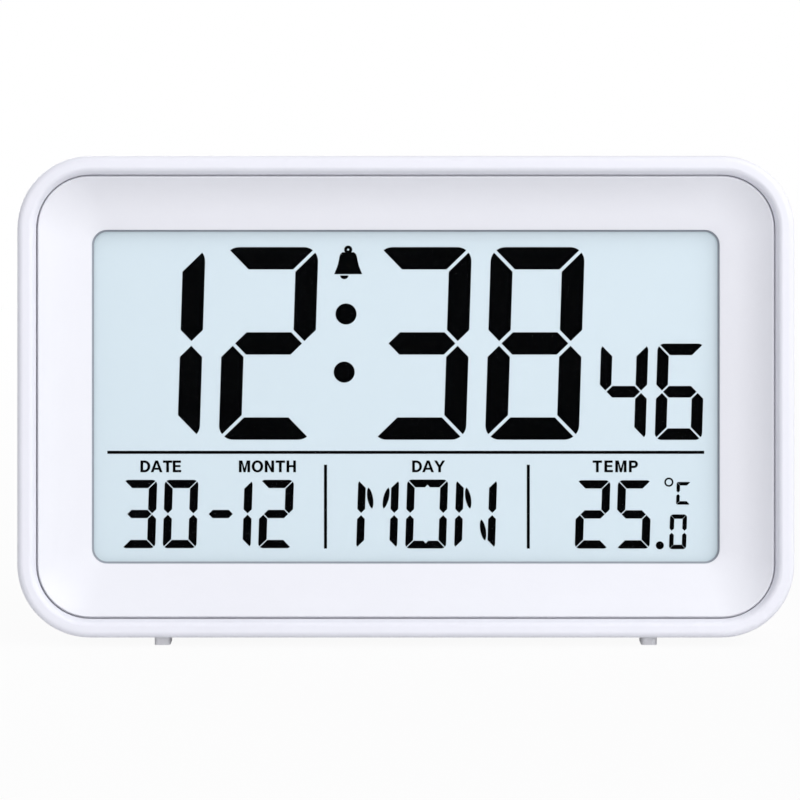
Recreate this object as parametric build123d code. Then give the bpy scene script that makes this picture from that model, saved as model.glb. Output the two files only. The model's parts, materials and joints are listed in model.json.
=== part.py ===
from build123d import *
import os
from math import cos, pi, radians, sin, tan

# A desk alarm clock with a liquid crystal display, two cells and keys on its back.
# Sizes are millimetres and degrees. The clock is modelled square: x runs to the right as seen from the
# front, y runs back from the crown of the rim and z runs up from the middle of the face.
# At the end the whole clock is leaned back on its feet.

# Case shells
FACE_WIDTH = 138.0
FACE_HEIGHT = 85.6
FACE_CORNER = 13.0
CASE_DEPTH = 34.0
CASE_DRAFT = 4.0
CASE_WALL = 2.0
BACK_WALL = 2.0
BACK_EDGE_RADIUS = 3.5
PARTING_DEPTH = 12.0
PARTING_GAP = 0.3
LIP_LENGTH = 2.0
LIP_WALL = 1.0
LIP_ROOT = 2.5
LIP_BOND = 0.3
SHELL_FIT = 0.15
CUT_OVERRUN = 1.0

# Rim and dished bezel
RIM_WIDTH = 3.4
RIM_DEPTH = 5.0
RIM_OUTER_RADIUS = 1.1
RIM_BEVEL_WIDTH = 0.8
RIM_BEVEL_DEPTH = 1.3
RIM_INNER_RADIUS = 0.9
GROOVE_GAP = 0.4
GROOVE_DEPTH = 1.2
BEZEL_FIT = 0.1
BEZEL_WIDTH = 9.25
BEZEL_LAND = 0.1
BEZEL_EDGE_DEPTH = 1.0
BEZEL_OUTER_SLOPE = 40.0
BEZEL_INNER_SLOPE = 12.0
BEZEL_CURVE_WIDTH = 6.0
BEZEL_CURVE_STEPS = 4
BEZEL_LIP = 0.7
FLANGE_THICKNESS = 1.5
WINDOW_CORNER = 2.7

# Display stack, from the lens back to the board
TAPE_THICKNESS = 0.2
TAPE_SHOW = 0.35
LENS_MARGIN = 1.8
LENS_THICKNESS = 1.0
LENS_CORNER = 2.0
LENS_AIR = 0.15
LCD_MARGIN = 2.0
LCD_LEDGE = 2.6
FILM_THICKNESS = 0.2
FILM_INSET = 0.8
GLASS_THICKNESS = 1.1
POCKET_FIT = 0.15
POCKET_WALL = 0.8
HOLDER_DEPTH = 3.4
HOLDER_WALL = 1.2
GUIDE_THICKNESS = 2.4
GUIDE_FIT = 0.2
LAMP_HEIGHT = 3.2
LAMP_FIT = 0.1
LAMP_WEB = 0.3
STRIP_END = 7.6
STRIP_FIT = 0.1
BOARD_GAP = 0.3

# Main board, its bosses and screws
BOARD_CLEARANCE = 4.195
BOARD_THICKNESS = 1.2
BOARD_EAR_HEIGHT = 28.0
BOARD_EDGE_FIT = 0.5
BOSS_RADIUS = 2.2
BOSS_SPACING = 20.0
BOARD_SCREW_RADIUS = 0.9
BOARD_SCREW_LENGTH = 5.0
BOARD_SCREW_BITE = 4.0
BOARD_HEAD_RADIUS = 1.8
BOARD_HEAD_HEIGHT = 1.3
THREAD_FIT = 0.02
HOLE_FIT = 0.2

# Posts, wells and screws that hold the case together
POST_RADIUS = 2.4
POST_STANDOFF = 0.15
POST_SPACING = 52.0
POST_REACH = 1.0
POST_PILOT_DEPTH = 6.0
CASE_SCREW_BITE = 5.4
CASE_SCREW_RADIUS = 1.1
CASE_HEAD_RADIUS = 2.0
CASE_HEAD_HEIGHT = 1.8
WELL_WALL = 0.9
WELL_FLOOR = 3.0
WELL_FIT = 0.3
WELL_GAP = 0.1
RECESS_SLOT = 0.5
RECESS_SHARE = 0.6

# Parts soldered to the main board
CHIP_RADIUS = 6.5
CHIP_HEIGHT = 1.6
CHIP_EDGE_RADIUS = 1.44
CHIP_X = -14.0
CHIP_Z = 6.0
CRYSTAL_RADIUS = 1.0
CRYSTAL_LENGTH = 6.0
CRYSTAL_LEG = 0.5
CRYSTAL_LEG_SPACING = 0.9
CRYSTAL_X = 8.0
CRYSTAL_Z = 6.0
CAPACITOR_RADIUS = 2.5
CAPACITOR_HEIGHT = 5.0
CAPACITOR_EDGE_RADIUS = 0.4
CAPACITOR_X = 30.0
CAPACITOR_Z = 22.0
SENSOR_SHIFT = 1.186
SENSOR_RADIUS = 1.5
SENSOR_REACH = 8.0
SENSOR_LEG_RADIUS = 0.3
SENSOR_LEG_SPACING = 1.4

# Snooze bar in the top wall and its switch
SNOOZE_WIDTH = 62.0
SNOOZE_LENGTH = 11.0
SNOOZE_CORNER = 3.0
SNOOZE_DEPTH = 22.0
SNOOZE_PROUD = 0.6
SNOOZE_FIT = 0.3
SNOOZE_EDGE_RADIUS = 0.5
SNOOZE_FLANGE = 1.2
SNOOZE_FLANGE_REACH = 1.2
SNOOZE_REST_GAP = 0.25
SNOOZE_RIB_WIDTH = 5.0
SNOOZE_RIB_THICKNESS = 1.8
SNOOZE_TRAVEL = 0.5
SNOOZE_SWITCH_WIDTH = 6.2
SNOOZE_SWITCH_DEPTH = 4.5
SNOOZE_SWITCH_HEIGHT = 5.5
SNOOZE_SWITCH_DROP = 8.8
SNOOZE_PLUNGER_REACH = 1.2

# Keys on the back, their switches and their board
KEY_NAMES = ("mode", "up", "down", "alarm")
KEY_PITCH = 16.0
KEY_ROW_X = -36.0
KEY_ROW_Z = 17.0
KEY_WIDTH = 9.0
KEY_HEIGHT = 5.4
KEY_PROUD = 0.6
KEY_EDGE_RADIUS = 0.5
KEY_FIT = 0.3
KEY_FLANGE = 1.0
KEY_FLANGE_REACH = 0.7
KEY_REST_GAP = 0.25
KEY_STEM_RADIUS = 1.6
KEY_TRAVEL = 0.5
SWITCH_SIZE = 6.0
SWITCH_HEIGHT = 3.4
PLUNGER_RADIUS = 1.7
PLUNGER_REACH = 1.0
PLUNGER_SUNK = 1.0
PLUNGER_FIT = 0.15
CONTACT_GAP = 0.05
KEY_BOARD_STANDOFF = 6.4
KEY_BOARD_THICKNESS = 1.2
KEY_BOARD_HEIGHT = 13.0
KEY_BOARD_MARGIN = 8.0
KEY_BOSS_RADIUS = 2.1
RIBBON_WIDTH = 10.0
RIBBON_THICKNESS = 0.8
RIBBON_BOW = 2.5

# Alarm slide switch
SLIDER_X = 33.0
SLIDER_TRAVEL = 3.0
SLIDER_BODY_WIDTH = 9.0
SLIDER_BODY_HEIGHT = 4.4
SLIDER_BODY_DEPTH = 3.4
KNOB_WIDTH = 3.0
KNOB_HEIGHT = 2.8
KNOB_CORNER = 0.56
KNOB_EDGE_RADIUS = 0.34
KNOB_PROUD = 0.5
KNOB_FIT = 0.3
KNOB_STEM = 1.2
KNOB_STEM_SUNK = 1.0
KNOB_SHIELD_THICKNESS = 0.8
KNOB_SHIELD_REACH = 1.0

# Buzzer behind the sound holes
BUZZER_SHIFT = 1.186
BUZZER_RADIUS = 11.2
BUZZER_THICKNESS = 0.4
CERAMIC_RADIUS = 8.0
CERAMIC_THICKNESS = 0.2
BUZZER_RING_WALL = 1.9
BUZZER_RING_HEIGHT = 4.0
SOUND_HOLE_RADIUS = 1.0
SOUND_HOLE_CIRCLE = 5.0
SOUND_HOLE_COUNT = 6
VENT_WIDTH = 14.0
VENT_HEIGHT = 1.4
VENT_CORNER = 0.63
VENT_PITCH = 3.0
VENT_COUNT = 5

# Battery bay, cells, contacts and door
BAY_Z = -13.0
BAY_WALL = 2.0
CELL_RADIUS = 5.25
CELL_LENGTH = 44.5
CELL_NUB_RADIUS = 1.9
CELL_NUB_LENGTH = 0.9
CELL_EDGE_RADIUS = 0.5
CELL_PITCH = 11.6
CELL_FIT = 0.35
CELL_HEADROOM = 0.4
BAY_RIDGE_DROP = 2.0
CONTACT_THICKNESS = 0.4
CONTACT_SIZE = 8.4
TAIL_WIDTH = 2.4
TAIL_LENGTH = 3.6
TAIL_FIT = 0.2
SPRING_LENGTH = 6.2
SPRING_WIRE = 0.7
SPRING_BASE_RADIUS = 3.4
SPRING_TIP_RADIUS = 2.4
SPRING_TURNS = 4
SPRING_GAP = 0.03
LEAD_RADIUS = 0.6
LEAD_BEND = 4.0
LEAD_RUN = 5.6
BUZZER_LEAD_TURN = 45.0
ARC_SHARE = 0.45
DOOR_THICKNESS = 1.8
DOOR_LAP = 1.5
DOOR_CORNER = 1.5
DOOR_FIT = 0.2
DOOR_SEAT_GAP = 0.1
DOOR_RIB_HEIGHT = 0.6
DOOR_RIB_WIDTH = 1.2
DOOR_RIB_SPACING = 24.0
TAB_SPACING = 32.0
TAB_WIDTH = 6.0
TAB_LENGTH = 2.0
TAB_THICKNESS = 1.1
TAB_DROP = 1.6
TAB_FIT = 0.3
LATCH_WIDTH = 12.0
LATCH_LENGTH = 6.0
LATCH_SLIT = 0.8
LATCH_BEAD = 0.12
BEAD_RADIUS = 0.45
GRIP_COUNT = 3
GRIP_PITCH = 1.5
GRIP_LENGTH = 8.0
GRIP_RADIUS = 0.4
NOTCH_RADIUS = 6.0
NOTCH_DEPTH = 1.2

# Feet
FOOT_INSET = 25.7
FOOT_WIDTH = 2.8
FOOT_LENGTH = 7.5
FOOT_HEIGHT = 1.6
FOOT_SUNK = 0.6
FOOT_FIT = 0.1
FOOT_CORNER = 0.84
FRONT_FOOT_DEPTH = 7.0
REAR_FOOT_DEPTH = 24.5

# Face and window
OPENING_WIDTH = FACE_WIDTH - 2 * RIM_WIDTH
OPENING_HEIGHT = FACE_HEIGHT - 2 * RIM_WIDTH
OPENING_CORNER = FACE_CORNER - RIM_WIDTH
BEZEL_OUTER_WIDTH = OPENING_WIDTH - 2 * GROOVE_GAP
BEZEL_OUTER_HEIGHT = OPENING_HEIGHT - 2 * GROOVE_GAP
BEZEL_OUTER_CORNER = OPENING_CORNER - GROOVE_GAP
WINDOW_WIDTH = BEZEL_OUTER_WIDTH - 2 * BEZEL_WIDTH
WINDOW_HEIGHT = BEZEL_OUTER_HEIGHT - 2 * BEZEL_WIDTH
DISH_ARC_RADIUS = BEZEL_CURVE_WIDTH / (sin(radians(BEZEL_OUTER_SLOPE)) - sin(radians(BEZEL_INNER_SLOPE)))
DISH_ARC_DROP = DISH_ARC_RADIUS * (cos(radians(BEZEL_INNER_SLOPE)) - cos(radians(BEZEL_OUTER_SLOPE)))
DISH_FLAT_WIDTH = BEZEL_WIDTH - BEZEL_LAND - BEZEL_CURVE_WIDTH
WINDOW_DEPTH = BEZEL_EDGE_DEPTH + DISH_ARC_DROP + DISH_FLAT_WIDTH * tan(radians(BEZEL_INNER_SLOPE))
BEZEL_BACK = WINDOW_DEPTH + BEZEL_LIP
FLANGE_BACK = RIM_DEPTH + FLANGE_THICKNESS

# Display stack depths and sizes
LENS_WIDTH = WINDOW_WIDTH + 2 * LENS_MARGIN
LENS_HEIGHT = WINDOW_HEIGHT + 2 * LENS_MARGIN
LENS_FRONT = BEZEL_BACK + TAPE_THICKNESS
LENS_BACK = LENS_FRONT + LENS_THICKNESS
FILM_FRONT = LENS_BACK + LENS_AIR
GLASS_FRONT = FILM_FRONT + FILM_THICKNESS
GLASS_MIDDLE = GLASS_FRONT + GLASS_THICKNESS
GLASS_BACK = GLASS_MIDDLE + GLASS_THICKNESS
LCD_WIDTH = WINDOW_WIDTH + 2 * LCD_MARGIN
LCD_HEIGHT = WINDOW_HEIGHT + 2 * LCD_MARGIN
POCKET_WIDTH = LCD_WIDTH + 2 * POCKET_FIT
POCKET_HEIGHT = LCD_HEIGHT + LCD_LEDGE + 2 * POCKET_FIT
GUIDE_WIDTH = LCD_WIDTH - 2 * HOLDER_WALL - 2 * GUIDE_FIT
GUIDE_HEIGHT = LCD_HEIGHT - 2 * HOLDER_WALL - 2 * GUIDE_FIT
BOARD_FRONT = GLASS_BACK + HOLDER_DEPTH
BOARD_BACK = BOARD_FRONT + BOARD_THICKNESS
STRIP_LENGTH = LCD_WIDTH - 2 * STRIP_END
DRAFT_RATE = tan(radians(CASE_DRAFT))
LIP_INSET = CASE_WALL + SHELL_FIT
BOARD_INSET = LIP_INSET + LIP_WALL + BOARD_BACK * DRAFT_RATE + BOARD_CLEARANCE
BOARD_HEIGHT = FACE_HEIGHT - 2 * BOARD_INSET
SNOOZE_SWITCH_TOP = FACE_HEIGHT / 2 - SNOOZE_SWITCH_DROP

# Case screws
POST_X = POCKET_WIDTH / 2 + POST_RADIUS + POST_STANDOFF
POST_BACK = BOARD_BACK + POST_REACH
WELL_FRONT = POST_BACK + WELL_GAP
WELL_SEAT = WELL_FRONT + WELL_FLOOR
WELL_BORE = CASE_HEAD_RADIUS + WELL_FIT
POST_PLACES = [(side * POST_X, end * POST_SPACING / 2) for side in (-1, 1) for end in (-1, 1)]
BOSS_PLACES = [(side * POST_X, end * BOSS_SPACING / 2) for side in (-1, 1) for end in (-1, 1)]

# Back panel
BACK_INNER = CASE_DEPTH - BACK_WALL
KEY_BOARD_BACK = BACK_INNER - KEY_BOARD_STANDOFF
KEY_BOARD_FRONT = KEY_BOARD_BACK - KEY_BOARD_THICKNESS
SWITCH_BACK = KEY_BOARD_BACK + SWITCH_HEIGHT
PLUNGER_BACK = SWITCH_BACK + PLUNGER_REACH
KEY_PLACES = [KEY_ROW_X + KEY_PITCH * index for index in range(len(KEY_NAMES))]
KEY_BOSS_PLACES = (KEY_PLACES[0] + KEY_PITCH / 2, KEY_PLACES[-1] + KEY_PITCH / 2)
RIBBON_X = (KEY_PLACES[1] + KEY_PLACES[2]) / 2
BUZZER_BACK = BACK_INNER - BUZZER_RING_HEIGHT
COVER_FRONT = PARTING_DEPTH + PARTING_GAP
LIP_ROOT_BACK = COVER_FRONT + LIP_ROOT

# Battery bay
BAY_WIDTH = CELL_LENGTH + SPRING_LENGTH + 2 * CONTACT_THICKNESS
BAY_HEIGHT = CELL_PITCH + 2 * CELL_RADIUS + 2 * CELL_FIT
DOOR_FRONT = CASE_DEPTH - DOOR_THICKNESS
CELL_DEPTH = DOOR_FRONT - DOOR_RIB_HEIGHT - CELL_HEADROOM - CELL_RADIUS
TROUGH_RADIUS = CELL_RADIUS + CELL_FIT
BAY_FRONT = CELL_DEPTH - TROUGH_RADIUS - BAY_WALL
UPPER_CELL_Z = BAY_Z + CELL_PITCH / 2
LOWER_CELL_Z = BAY_Z - CELL_PITCH / 2
CONTACT_FACE = BAY_WIDTH / 2 - CONTACT_THICKNESS
BAY_OUTER_X = BAY_WIDTH / 2 + BAY_WALL
SIDE_INNER_X = FACE_WIDTH / 2 - CASE_WALL - CASE_DEPTH * DRAFT_RATE
BAY_SIDE_MIDDLE = (BAY_OUTER_X + SIDE_INNER_X) / 2
BUZZER_X = BAY_SIDE_MIDDLE - BUZZER_SHIFT
SENSOR_X = SENSOR_SHIFT - BAY_SIDE_MIDDLE
DOOR_WIDTH = BAY_WIDTH + 2 * DOOR_LAP
DOOR_HEIGHT = BAY_HEIGHT + 2 * DOOR_LAP
DOOR_LOW = BAY_Z - DOOR_HEIGHT / 2
DOOR_HIGH = BAY_Z + DOOR_HEIGHT / 2
HINGE_Z = DOOR_LOW - DOOR_FIT
TAB_FRONT = DOOR_FRONT - TAB_DROP
TAB_PLACES = (-TAB_SPACING / 2, TAB_SPACING / 2)

# Lean of the standing clock: the drafted bottom wall lies level, so the face leans by the draft
FOOT_X = FACE_WIDTH / 2 - FOOT_INSET
LEAN_COS = cos(radians(CASE_DRAFT))
LEAN_SIN = sin(radians(CASE_DRAFT))
REAR_HALF_HEIGHT = FACE_HEIGHT / 2 - CASE_DEPTH * DRAFT_RATE
FRONT_REACH = RIM_OUTER_RADIUS * (LEAN_COS - 1) - (FACE_HEIGHT / 2 - RIM_OUTER_RADIUS) * LEAN_SIN
REAR_REACH = (
    (CASE_DEPTH - BACK_EDGE_RADIUS) * LEAN_COS
    + (REAR_HALF_HEIGHT - BACK_EDGE_RADIUS) * LEAN_SIN
    + BACK_EDGE_RADIUS
)
STAND_Y = -(FRONT_REACH + REAR_REACH) / 2
STAND_Z = (FACE_HEIGHT / 2 + FOOT_HEIGHT) * LEAN_COS
STANDING = Location((0, STAND_Y, STAND_Z), (-CASE_DRAFT, 0, 0))


def facing_back(depth, x=0.0, z=0.0):
    """Plane parallel to the face, looking out of the back of the clock."""
    return Plane(origin=(x, depth, z), x_dir=(-1, 0, 0), z_dir=(0, 1, 0))


def slab(width, height, corner, front, back, x=0.0, z=0.0):
    """Plate parallel to the face, with rounded corners, between two depths."""
    return extrude(facing_back(front, x, z) * RectangleRounded(width, height, corner), back - front)


def rod(radius, front, back, x=0.0, z=0.0):
    """Round bar square to the face, between two depths."""
    return extrude(facing_back(front, x, z) * Circle(radius), back - front)


def bar(radius, left, right, depth, z):
    """Round bar across the clock."""
    section = Plane(origin=(left, depth, z), x_dir=(0, 1, 0), z_dir=(1, 0, 0)) * Circle(radius)
    return extrude(section, right - left)


def block(left, right, front, back, low, high):
    """Box between two planes in each direction."""
    middle = ((left + right) / 2, (front + back) / 2, (low + high) / 2)
    return Pos(*middle) * Box(right - left, back - front, high - low)


def upright(width, length, corner, low, high, x, depth):
    """Plate in plan with rounded corners, between two heights."""
    plan = Plane(origin=(x, depth, low)) * RectangleRounded(width, length, corner)
    return extrude(plan, high - low)


def case_form(inset, front, back):
    """Drafted outer form of the case, drawn in by an inset on all sides, between two depths."""
    shrink = inset + front * DRAFT_RATE
    outline = RectangleRounded(FACE_WIDTH - 2 * shrink, FACE_HEIGHT - 2 * shrink, FACE_CORNER - shrink)
    return extrude(facing_back(front) * outline, back - front, taper=CASE_DRAFT)


def back_edges(part):
    return part.edges().group_by(Axis.Y)[-1]


def screw(radius, length, head_radius, head_height, seat, x, z):
    """Pan-head screw driven forwards, with its head behind the seat and a cross recess."""
    head = rod(head_radius, seat, seat + head_height, x, z)
    head = fillet(back_edges(head), head_height / 2)
    body = head + rod(radius - THREAD_FIT, seat - length, seat, x, z)
    recess_front = seat + head_height / 2
    recess_back = seat + 2 * head_height
    reach = head_radius * RECESS_SHARE
    half = RECESS_SLOT / 2
    body -= block(x - reach, x + reach, recess_front, recess_back, z - half, z + half)
    body -= block(x - half, x + half, recess_front, recess_back, z - reach, z + reach)
    return body


def foot_prism(x, depth, fit):
    """Upright prism on the outline of a foot, from below the clock into its bottom wall."""
    low = -FACE_HEIGHT / 2 - 2 * FOOT_HEIGHT
    high = -FACE_HEIGHT / 2 + CASE_DEPTH * DRAFT_RATE + FOOT_SUNK + CASE_WALL
    return upright(FOOT_WIDTH + 2 * fit, FOOT_LENGTH + 2 * fit, FOOT_CORNER + fit, low, high, x, depth)


def foot_seats(depth):
    """Shallow recesses for a left and a right foot."""
    core = case_form(FOOT_SUNK, 0, CASE_DEPTH)
    return [foot_prism(side * FOOT_X, depth, FOOT_FIT) - core for side in (-1, 1)]


def make_foot(side, depth):
    """Soft foot rib, sunk in its seat and level with the ground below."""
    pad = foot_prism(side * FOOT_X, depth, 0) & case_form(-FOOT_HEIGHT, 0, CASE_DEPTH)
    return pad - case_form(FOOT_SUNK, 0, CASE_DEPTH)


def make_front_case():
    """Front shell: side walls and a rim, rounded outside and bevelled down to the bezel."""
    shell = case_form(0, 0, PARTING_DEPTH)
    shell -= slab(OPENING_WIDTH, OPENING_HEIGHT, OPENING_CORNER, -CUT_OVERRUN, RIM_DEPTH)
    shell -= case_form(CASE_WALL, RIM_DEPTH, PARTING_DEPTH)
    crown = shell.faces().sort_by(Axis.Y)[0]
    shell = fillet(crown.outer_wire().edges(), RIM_OUTER_RADIUS)
    crown = shell.faces().sort_by(Axis.Y)[0]
    shell = chamfer(crown.inner_wires()[0].edges(), RIM_BEVEL_WIDTH, RIM_BEVEL_DEPTH, reference=crown)
    crown = shell.faces().sort_by(Axis.Y)[0]
    shell = fillet(crown.inner_wires()[0].edges(), RIM_INNER_RADIUS)
    for seat in foot_seats(FRONT_FOOT_DEPTH):
        shell -= seat
    return shell


def dish_steps():
    """Distance in from the bezel's edge and depth of each section of the dish."""
    steps = []
    for index in range(BEZEL_CURVE_STEPS + 1):
        share = index / BEZEL_CURVE_STEPS
        slope = radians(BEZEL_OUTER_SLOPE + (BEZEL_INNER_SLOPE - BEZEL_OUTER_SLOPE) * share)
        inward = DISH_ARC_RADIUS * (sin(radians(BEZEL_OUTER_SLOPE)) - sin(slope))
        drop = DISH_ARC_RADIUS * (cos(slope) - cos(radians(BEZEL_OUTER_SLOPE)))
        steps.append((BEZEL_LAND + inward, BEZEL_EDGE_DEPTH + drop))
    steps.append((BEZEL_WIDTH, WINDOW_DEPTH))
    return steps


def make_bezel_frame():
    """Dished bezel with its groove, flange, display pocket, screw posts and board bosses."""
    frame = slab(BEZEL_OUTER_WIDTH, BEZEL_OUTER_HEIGHT, BEZEL_OUTER_CORNER, BEZEL_EDGE_DEPTH, FLANGE_BACK)
    step_width = OPENING_WIDTH - 2 * BEZEL_FIT
    step_height = OPENING_HEIGHT - 2 * BEZEL_FIT
    step_front = BEZEL_EDGE_DEPTH + GROOVE_DEPTH
    frame += slab(step_width, step_height, OPENING_CORNER - BEZEL_FIT, step_front, FLANGE_BACK)
    frame += case_form(LIP_INSET, RIM_DEPTH, FLANGE_BACK)
    pocket_z = LCD_LEDGE / 2
    pocket_back = BOARD_FRONT - BOARD_GAP
    wall_width = POCKET_WIDTH + 2 * POCKET_WALL
    wall_height = POCKET_HEIGHT + 2 * POCKET_WALL
    frame += slab(wall_width, wall_height, POCKET_WALL, RIM_DEPTH, pocket_back, z=pocket_z)
    for x, z in POST_PLACES:
        frame += rod(POST_RADIUS, RIM_DEPTH, POST_BACK, x, z)
    for x, z in BOSS_PLACES:
        frame += rod(BOSS_RADIUS, RIM_DEPTH, BOARD_FRONT, x, z)
    frame -= slab(POCKET_WIDTH, POCKET_HEIGHT, POCKET_FIT, BEZEL_BACK, BOARD_FRONT, z=pocket_z)
    sections = []
    for inward, depth in dish_steps():
        corner = BEZEL_OUTER_CORNER + (WINDOW_CORNER - BEZEL_OUTER_CORNER) * inward / BEZEL_WIDTH
        outline = RectangleRounded(BEZEL_OUTER_WIDTH - 2 * inward, BEZEL_OUTER_HEIGHT - 2 * inward, corner)
        sections.append(facing_back(depth) * outline)
    frame -= loft(sections)
    frame -= slab(WINDOW_WIDTH, WINDOW_HEIGHT, WINDOW_CORNER, 0, FLANGE_BACK)
    for x, z in POST_PLACES:
        frame -= rod(CASE_SCREW_RADIUS, POST_BACK - POST_PILOT_DEPTH, POST_BACK, x, z)
    for x, z in BOSS_PLACES:
        frame -= rod(BOARD_SCREW_RADIUS, BOARD_FRONT - BOARD_SCREW_LENGTH, BOARD_FRONT, x, z)
    return frame


def make_lens_tape():
    """Adhesive frame between bezel and lens, a fine line of it showing in the window."""
    width = WINDOW_WIDTH - 2 * TAPE_SHOW
    height = WINDOW_HEIGHT - 2 * TAPE_SHOW
    tape = slab(LENS_WIDTH, LENS_HEIGHT, LENS_CORNER, BEZEL_BACK, LENS_FRONT)
    return tape - slab(width, height, WINDOW_CORNER - TAPE_SHOW, BEZEL_BACK, LENS_FRONT)


def make_display_lens():
    return slab(LENS_WIDTH, LENS_HEIGHT, LENS_CORNER, LENS_FRONT, LENS_BACK)


def make_polariser_film():
    width = LCD_WIDTH - 2 * FILM_INSET
    height = LCD_HEIGHT - 2 * FILM_INSET
    return slab(width, height, FILM_INSET, FILM_FRONT, GLASS_FRONT)


def make_lcd_front_glass():
    """Front glass with the contact ledge that stands above the rear glass."""
    half = LCD_WIDTH / 2
    return block(-half, half, GLASS_FRONT, GLASS_MIDDLE, -LCD_HEIGHT / 2, LCD_HEIGHT / 2 + LCD_LEDGE)


def make_lcd_rear_glass():
    half = LCD_WIDTH / 2
    return block(-half, half, GLASS_MIDDLE, GLASS_BACK, -LCD_HEIGHT / 2, LCD_HEIGHT / 2)


def make_contact_strip():
    """Layered rubber strip that joins the glass ledge to the board."""
    low = LCD_HEIGHT / 2 + STRIP_FIT
    high = LCD_HEIGHT / 2 + LCD_LEDGE - STRIP_FIT
    return block(-STRIP_LENGTH / 2, STRIP_LENGTH / 2, GLASS_MIDDLE, BOARD_FRONT, low, high)


def make_display_holder():
    """Ring that presses the glass forwards and holds the light guide, notched for two lamps."""
    half_width = LCD_WIDTH / 2
    half_height = LCD_HEIGHT / 2
    inner_width = half_width - HOLDER_WALL
    inner_height = half_height - HOLDER_WALL
    ring = block(-half_width, half_width, GLASS_BACK, BOARD_FRONT, -half_height, half_height)
    ring -= block(-inner_width, inner_width, GLASS_BACK, BOARD_FRONT, -inner_height, inner_height)
    notch = LAMP_HEIGHT / 2 + LAMP_FIT
    ring -= block(-half_width, half_width, GLASS_BACK + LAMP_WEB, BOARD_FRONT, -notch, notch)
    return ring


def make_light_guide():
    half_width = GUIDE_WIDTH / 2
    half_height = GUIDE_HEIGHT / 2
    guide_back = GLASS_BACK + GUIDE_THICKNESS
    return block(-half_width, half_width, GLASS_BACK, guide_back, -half_height, half_height)


def make_reflector_film():
    guide_back = GLASS_BACK + GUIDE_THICKNESS
    return slab(GUIDE_WIDTH, GUIDE_HEIGHT, FILM_INSET, guide_back, guide_back + FILM_THICKNESS)


def make_backlight_lamps():
    """Two lamps that stand on the board at the ends of the light guide."""
    inner = LCD_WIDTH / 2 - HOLDER_WALL
    outer = LCD_WIDTH / 2 - LAMP_FIT
    front = GLASS_BACK + LAMP_WEB + LAMP_FIT
    half = LAMP_HEIGHT / 2
    right = block(inner, outer, front, BOARD_FRONT, -half, half)
    return [right, mirror(right, about=Plane.YZ)]


def make_main_board():
    """Circuit board with ears for its screws, cut back beside the posts."""
    half_width = POST_X - POST_RADIUS - BOARD_EDGE_FIT
    half_ear = POST_X + BOSS_RADIUS
    half_height = BOARD_HEIGHT / 2
    ear_height = BOARD_EAR_HEIGHT / 2
    board = block(-half_width, half_width, BOARD_FRONT, BOARD_BACK, -half_height, half_height)
    board += block(-half_ear, half_ear, BOARD_FRONT, BOARD_BACK, -ear_height, ear_height)
    for x, z in BOSS_PLACES:
        board -= rod(BOARD_SCREW_RADIUS + HOLE_FIT, BOARD_FRONT, BOARD_BACK, x, z)
    return board


def make_board_screws():
    length = BOARD_THICKNESS + BOARD_SCREW_BITE
    return [
        screw(BOARD_SCREW_RADIUS, length, BOARD_HEAD_RADIUS, BOARD_HEAD_HEIGHT, BOARD_BACK, x, z)
        for x, z in BOSS_PLACES
    ]


def make_controller_chip():
    """Dome of resin over the bare chip."""
    dome = rod(CHIP_RADIUS, BOARD_BACK, BOARD_BACK + CHIP_HEIGHT, CHIP_X, CHIP_Z)
    return fillet(back_edges(dome), CHIP_EDGE_RADIUS)


def make_quartz_crystal():
    """Small metal can lying on the board, with its two legs bent down to it."""
    half = CRYSTAL_LENGTH / 2
    depth = BOARD_BACK + CRYSTAL_RADIUS
    can = bar(CRYSTAL_RADIUS, CRYSTAL_X - half, CRYSTAL_X + half, depth, CRYSTAL_Z)
    leg = CRYSTAL_LEG / 2
    for side in (-1, 1):
        z = CRYSTAL_Z + side * CRYSTAL_LEG_SPACING / 2
        left = CRYSTAL_X - half - CRYSTAL_RADIUS
        can += block(left, CRYSTAL_X, depth - leg, depth + leg, z - leg, z + leg)
        can += block(left, left + 2 * leg, BOARD_BACK, depth, z - leg, z + leg)
    return can


def make_capacitor():
    """Upright capacitor can with a rounded top."""
    can = rod(CAPACITOR_RADIUS, BOARD_BACK, BOARD_BACK + CAPACITOR_HEIGHT, CAPACITOR_X, CAPACITOR_Z)
    return fillet(back_edges(can), CAPACITOR_EDGE_RADIUS)


def make_temperature_sensor():
    """Bead on two legs, held out from the board towards the vents."""
    bead_depth = BOARD_BACK + SENSOR_REACH
    sensor = Pos(SENSOR_X, bead_depth, BAY_Z) * Sphere(SENSOR_RADIUS)
    for side in (-1, 1):
        leg_x = SENSOR_X + side * SENSOR_LEG_SPACING / 2
        sensor += rod(SENSOR_LEG_RADIUS, BOARD_BACK, bead_depth, leg_x, BAY_Z)
    return sensor


def snooze_switch_depth():
    return BOARD_BACK + SNOOZE_SWITCH_DEPTH / 2


def make_snooze_switch():
    """Switch body on the main board, with a well for its plunger in the top."""
    half = SNOOZE_SWITCH_WIDTH / 2
    low = SNOOZE_SWITCH_TOP - SNOOZE_SWITCH_HEIGHT
    body = block(-half, half, BOARD_BACK, BOARD_BACK + SNOOZE_SWITCH_DEPTH, low, SNOOZE_SWITCH_TOP)
    floor = SNOOZE_SWITCH_TOP - PLUNGER_SUNK - SNOOZE_TRAVEL - PLUNGER_FIT
    well = Plane(origin=(0, snooze_switch_depth(), floor)) * Circle(PLUNGER_RADIUS + PLUNGER_FIT)
    return body - extrude(well, SNOOZE_SWITCH_HEIGHT)


def make_snooze_plunger():
    start = SNOOZE_SWITCH_TOP - PLUNGER_SUNK
    section = Plane(origin=(0, snooze_switch_depth(), start)) * Circle(PLUNGER_RADIUS)
    return extrude(section, PLUNGER_SUNK + SNOOZE_PLUNGER_REACH)


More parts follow.
